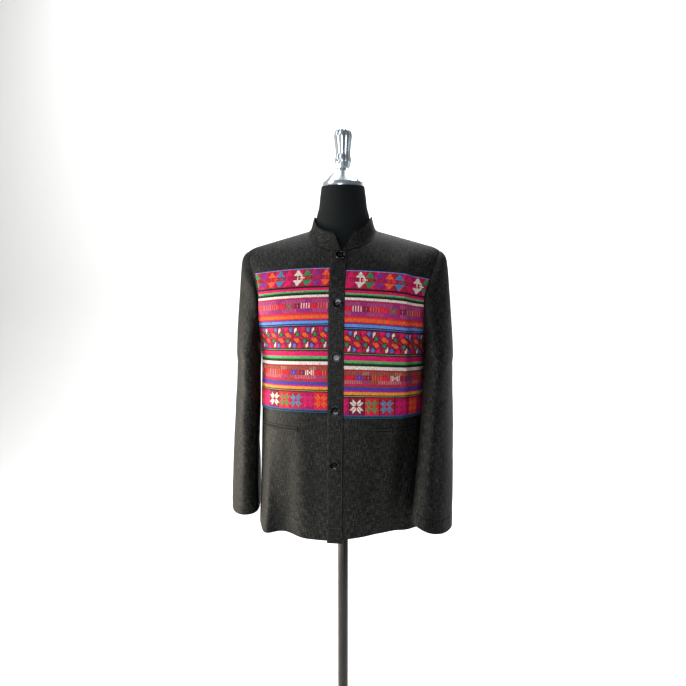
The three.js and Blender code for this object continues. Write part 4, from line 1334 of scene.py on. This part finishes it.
form_levels = [                  # height, the height whose outline it has, and inset
    (842, FORM_BOTTOM, 10), (843, FORM_BOTTOM, 4.5), (846, FORM_BOTTOM, 1.2),
    *((z, z, 0) for z in range(FORM_BOTTOM, FORM_SHOULDERS, 15)),
    *((z, z, 0) for z in range(FORM_SHOULDERS + 2, FORM_TOP, 5)), (FORM_TOP, FORM_TOP, 0),
]
rows = []
for z, at, inset in form_levels:
    row = []
    for i in range(FORM_SIDES + 1):
        angle = 2 * math.pi * (i % FORM_SIDES) / FORM_SIDES
        radius = form_radius(angle, at) - inset
        row.append(Vector((radius * math.cos(angle), radius * math.sin(angle), z)))
    rows.append(row)
form = lay_grid("dress_form_shell", rows)
close_up(form, fill=True)

# Black cotton single jersey, stretched smooth: soft, matt, with a faint bloom at its edges.
jersey, tree, surface = new_material(
    "black_cotton_jersey", Roughness=0.85, Specular_IOR_Level=0.14, Sheen_Weight=0.02
)
place = add_node(tree, "ShaderNodeTexCoord").outputs["Object"]
loops = add_node(tree, "ShaderNodeTexNoise", Vector=place, Scale=900.0, Detail=2.0)
jersey_tone = add_node(tree, "ShaderNodeValToRGB", Fac=loops)
set_ramp(jersey_tone, [(0.3, "0c0f10"), (0.7, "191e1f")])
relief = add_node(tree, "ShaderNodeBump", Height=loops, Strength=0.3, Distance=0.0003)
feed(surface, Base_Color=jersey_tone, Normal=relief)
place_on_form(form, jersey, "form_jersey", "dress_form", smooth=40)

# ---- Neck cap and finial ----------------------------------------------------------------
# A spun and chrome-plated cap closes the form's neck, and a fluted chromed finial is
# screwed on top of it.

# Bright chrome on polished metal, with a haze of fine scratches that spreads what it mirrors.
# A little short of full metallic: its pale diffuse share is painted reflection, because a bare
# studio gives it hardly anything to mirror.
bright_chrome, tree, surface = new_material("bright_chrome_plate", "cfdadf", Metallic=0.72)
place = add_node(tree, "ShaderNodeTexCoord").outputs["Object"]
haze = add_node(tree, "ShaderNodeTexNoise", Vector=place, Scale=60.0, Detail=3.0)
gloss = add_node(tree, "ShaderNodeMapRange", Value=haze, To_Min=0.14, To_Max=0.34)
feed(surface, Roughness=gloss)


def turned_piece(name, profile, sides=64):
    """A round piece built up ring by ring, as radius and height pairs."""
    (radius, z), *rest = profile
    bpy.ops.object.select_all(action="DESELECT")
    bpy.ops.mesh.primitive_circle_add(
        vertices=sides, radius=radius * MM, location=(0, 0, z * MM), fill_type="NGON"
    )
    bpy.ops.object.transform_apply(location=True, rotation=False, scale=False)
    piece = bpy.context.object
    piece.name = piece.data.name = name
    bpy.ops.object.mode_set(mode="EDIT")
    bpy.ops.mesh.select_all(action="SELECT")
    for next_radius, next_z in rest:
        up, spread = (next_z - z) * MM, next_radius / radius
        bpy.ops.mesh.extrude_region_move(TRANSFORM_OT_translate={"value": (0, 0, up)})
        bpy.ops.transform.resize(
            value=(spread, spread, 1), center_override=(0, 0, next_z * MM)
        )
        radius, z = next_radius, next_z
    bpy.ops.object.mode_set(mode="OBJECT")
    close_up(piece, weld=False)
    return piece


cap = turned_piece("neck_cap_spinning", [
    (48.2, 1593.3), (49, 1593.9), (49, 1601.8), (48.2, 1603), (46.6, 1604.8), (44.4, 1607.2),
    (40.4, 1611.4), (35, 1616.8), (29.4, 1622), (24, 1627), (19.4, 1631), (16.6, 1633.6),
    (15.7, 1635),
])
place_on_form(cap, bright_chrome, "chromed_metal", "neck_cap", smooth=35)

finial = turned_piece("finial_turning", [
    (14.8, 1635.3), (15.6, 1635.9), (16.1, 1638.5), (17.3, 1643.5), (18.3, 1649), (18.5, 1654),
    (17.6, 1659), (16.3, 1664), (16.1, 1668.5), (16.4, 1673), (17, 1679), (17.8, 1685),
    (18.7, 1692), (19.5, 1699), (20.2, 1705), (20.3, 1710), (19.5, 1715.5), (17.6, 1720.4),
    (14.4, 1724.6), (10, 1727.6), (5, 1729.2), (1.5, 1729.5),
])
FLUTES = {                       # in metres; each fades over its run at either end
    "count": 8, "depth": 0.0013, "from_z": 1.640, "low_run": 0.014, "to_z": 1.7285,
    "high_run": 0.008,
}
for vertex in finial.data.vertices:
    radius = math.hypot(vertex.co.x, vertex.co.y)
    angle = math.atan2(vertex.co.y, vertex.co.x)
    low = clamp((vertex.co.z - FLUTES["from_z"]) / FLUTES["low_run"])
    high = clamp((FLUTES["to_z"] - vertex.co.z) / FLUTES["high_run"])
    wave = abs(math.cos(FLUTES["count"] / 2 * angle)) ** 0.6 * 2 - 1
    flute = FLUTES["depth"] * low * high * wave
    if radius > 0.004:
        vertex.co.x *= (radius + flute) / radius
        vertex.co.y *= (radius + flute) / radius
smooth = finial.modifiers.new("smooth", "SUBSURF")
smooth.levels = smooth.render_levels = 1
apply_all(finial)
place_on_form(finial, bright_chrome, "chromed_metal", "finial", smooth=50)

# ---- Pole and base ----------------------------------------------------------------------
# A steel tube, 25 mm across, from the form down to a flat round steel base with a softened
# rim. Both are sprayed dark red-brown, with a satin varnish.

# Dark red-brown paint, thinly mottled, under a thin coat of satin varnish.
stand_paint, tree, surface = new_material(
    "satin_red_brown_paint", Roughness=0.5, Coat_Weight=0.1, Coat_Roughness=0.2
)
place = add_node(tree, "ShaderNodeTexCoord").outputs["Object"]
stretched = add_node(tree, "ShaderNodeMapping", Vector=place, Scale=(90, 90, 12))
mottle = add_node(tree, "ShaderNodeTexNoise", Vector=stretched, Scale=1.0, Detail=3.0)
paint_tone = add_node(tree, "ShaderNodeValToRGB", Fac=mottle)
set_ramp(paint_tone, [(0.3, "120a0b"), (0.7, "1f1413")])
feed(surface, Base_Color=paint_tone)

pole = turned_piece("pole_tube", [
    (11.7, 10.3), (12.5, 11.1), (12.5, 300), (12.5, 600), (12.5, 840.7), (11.8, 841.5),
], sides=48)
place_on_form(pole, stand_paint, "stand_paint", "pole", smooth=50)

base = turned_piece("base_plate", [
    (172, 0), (174.2, 0.6), (175, 2), (175, 6.6), (174.2, 8.4), (172.4, 9.6), (170, 10),
    (120, 10), (60, 10), (20, 10),
], sides=96)
place_on_form(base, stand_paint, "stand_paint", "base", smooth=50)

# ---- Floor, light and camera ------------------------------------------------------------
# A pale paper sweep curves up behind the stand. The key light is close to the wearer's right,
# with a weaker one slanting beside it, soft ones in front and overhead, a weak fill behind
# the wearer's left, and one for the paper alone. The camera looks down a little.

SWEEP = {"width": 12, "depth": 7, "height": 5, "curve": 1.2}     # in metres
CAMERA = {"bearing": 7, "distance": 1.7, "height": 1.4, "down": 5.8, "lens": 37.6}


def select_edges(piece, test):
    """In edit mode, selects the edges whose ends both pass a test of their place."""
    bpy.ops.mesh.select_all(action="DESELECT")
    bpy.ops.object.mode_set(mode="OBJECT")
    for edge in piece.data.edges:
        edge.select = all(test(piece.data.vertices[v].co) for v in edge.vertices)
    bpy.ops.object.mode_set(mode="EDIT")


bpy.ops.object.select_all(action="DESELECT")
bpy.ops.mesh.primitive_plane_add(size=1)
sweep = bpy.context.object
sweep.name = "paper_sweep"
bpy.ops.object.mode_set(mode="EDIT")
bpy.ops.mesh.select_mode(type="EDGE")
bpy.ops.mesh.select_all(action="SELECT")
bpy.ops.transform.resize(value=(SWEEP["width"], SWEEP["depth"], 1))
select_edges(sweep, lambda place: place.y > 1)
bpy.ops.mesh.extrude_region_move(TRANSFORM_OT_translate={"value": (0, 0, SWEEP["height"])})
select_edges(sweep, lambda place: place.y > 1 and place.z < 0.1)
bpy.ops.mesh.bevel(offset=SWEEP["curve"], segments=16)
bpy.ops.object.mode_set(mode="OBJECT")
bpy.ops.object.shade_smooth()
# Plain uncoated paper, near white and matt.
sweep.data.materials.append(new_material("pale_paper", "f4f4f2", Roughness=0.9)[0])
sweep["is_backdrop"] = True

world = bpy.data.worlds.new("studio")
world.use_nodes = True
sky = world.node_tree.nodes["Background"].inputs
sky["Color"].default_value = colour("f2f5f8")
sky["Strength"].default_value = 0.03
bpy.context.scene.world = world

for name, place, aim, size, watts, tint in (
    ("key", (-1.7, -0.12, 0.98), (0, 0, 1.0), 0.8, 46, "fff4e4"),
    ("slant", (-1.38, -1.16, 0.9), (0, 0, 1.0), 0.6, 9.5, "fff4e4"),
    ("front", (-0.5, -3.0, 1.7), (0, 0, 1.0), 0.9, 39, "f0f4ff"),
    ("overhead", (-1.8, -0.7, 2.7), (0, 0, 1.2), 1.0, 18, "f0f4ff"),
    ("fill", (2.9, 0.8, 1.3), (0, 0, 1.1), 1.0, 7, "e6f0ff"),
    ("backdrop", (0, 1.6, 4.2), (0, 3.4, 1.2), 3.0, 260, "ffffff"),
):
    lamp = bpy.data.lights.new(name, "AREA")
    lamp.size = size
    lamp.energy = watts
    lamp.color = colour(tint)[:3]
    holder = bpy.data.objects.new(name, lamp)
    bpy.context.collection.objects.link(holder)
    holder.location = place
    holder.rotation_euler = (Vector(aim) - Vector(place)).to_track_quat("-Z", "Y").to_euler()

lens = bpy.data.cameras.new("camera")
lens.sensor_width = 36
lens.lens = CAMERA["lens"]
camera = bpy.data.objects.new("camera", lens)
bpy.context.collection.objects.link(camera)
bearing, distance = math.radians(CAMERA["bearing"]), CAMERA["distance"]
camera.location = (
    distance * math.sin(bearing), -distance * math.cos(bearing), CAMERA["height"]
)
camera.rotation_euler = (math.radians(90 - CAMERA["down"]), 0, bearing)
bpy.context.scene.camera = camera
bpy.context.scene.view_settings.view_transform = "Standard"

low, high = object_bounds()
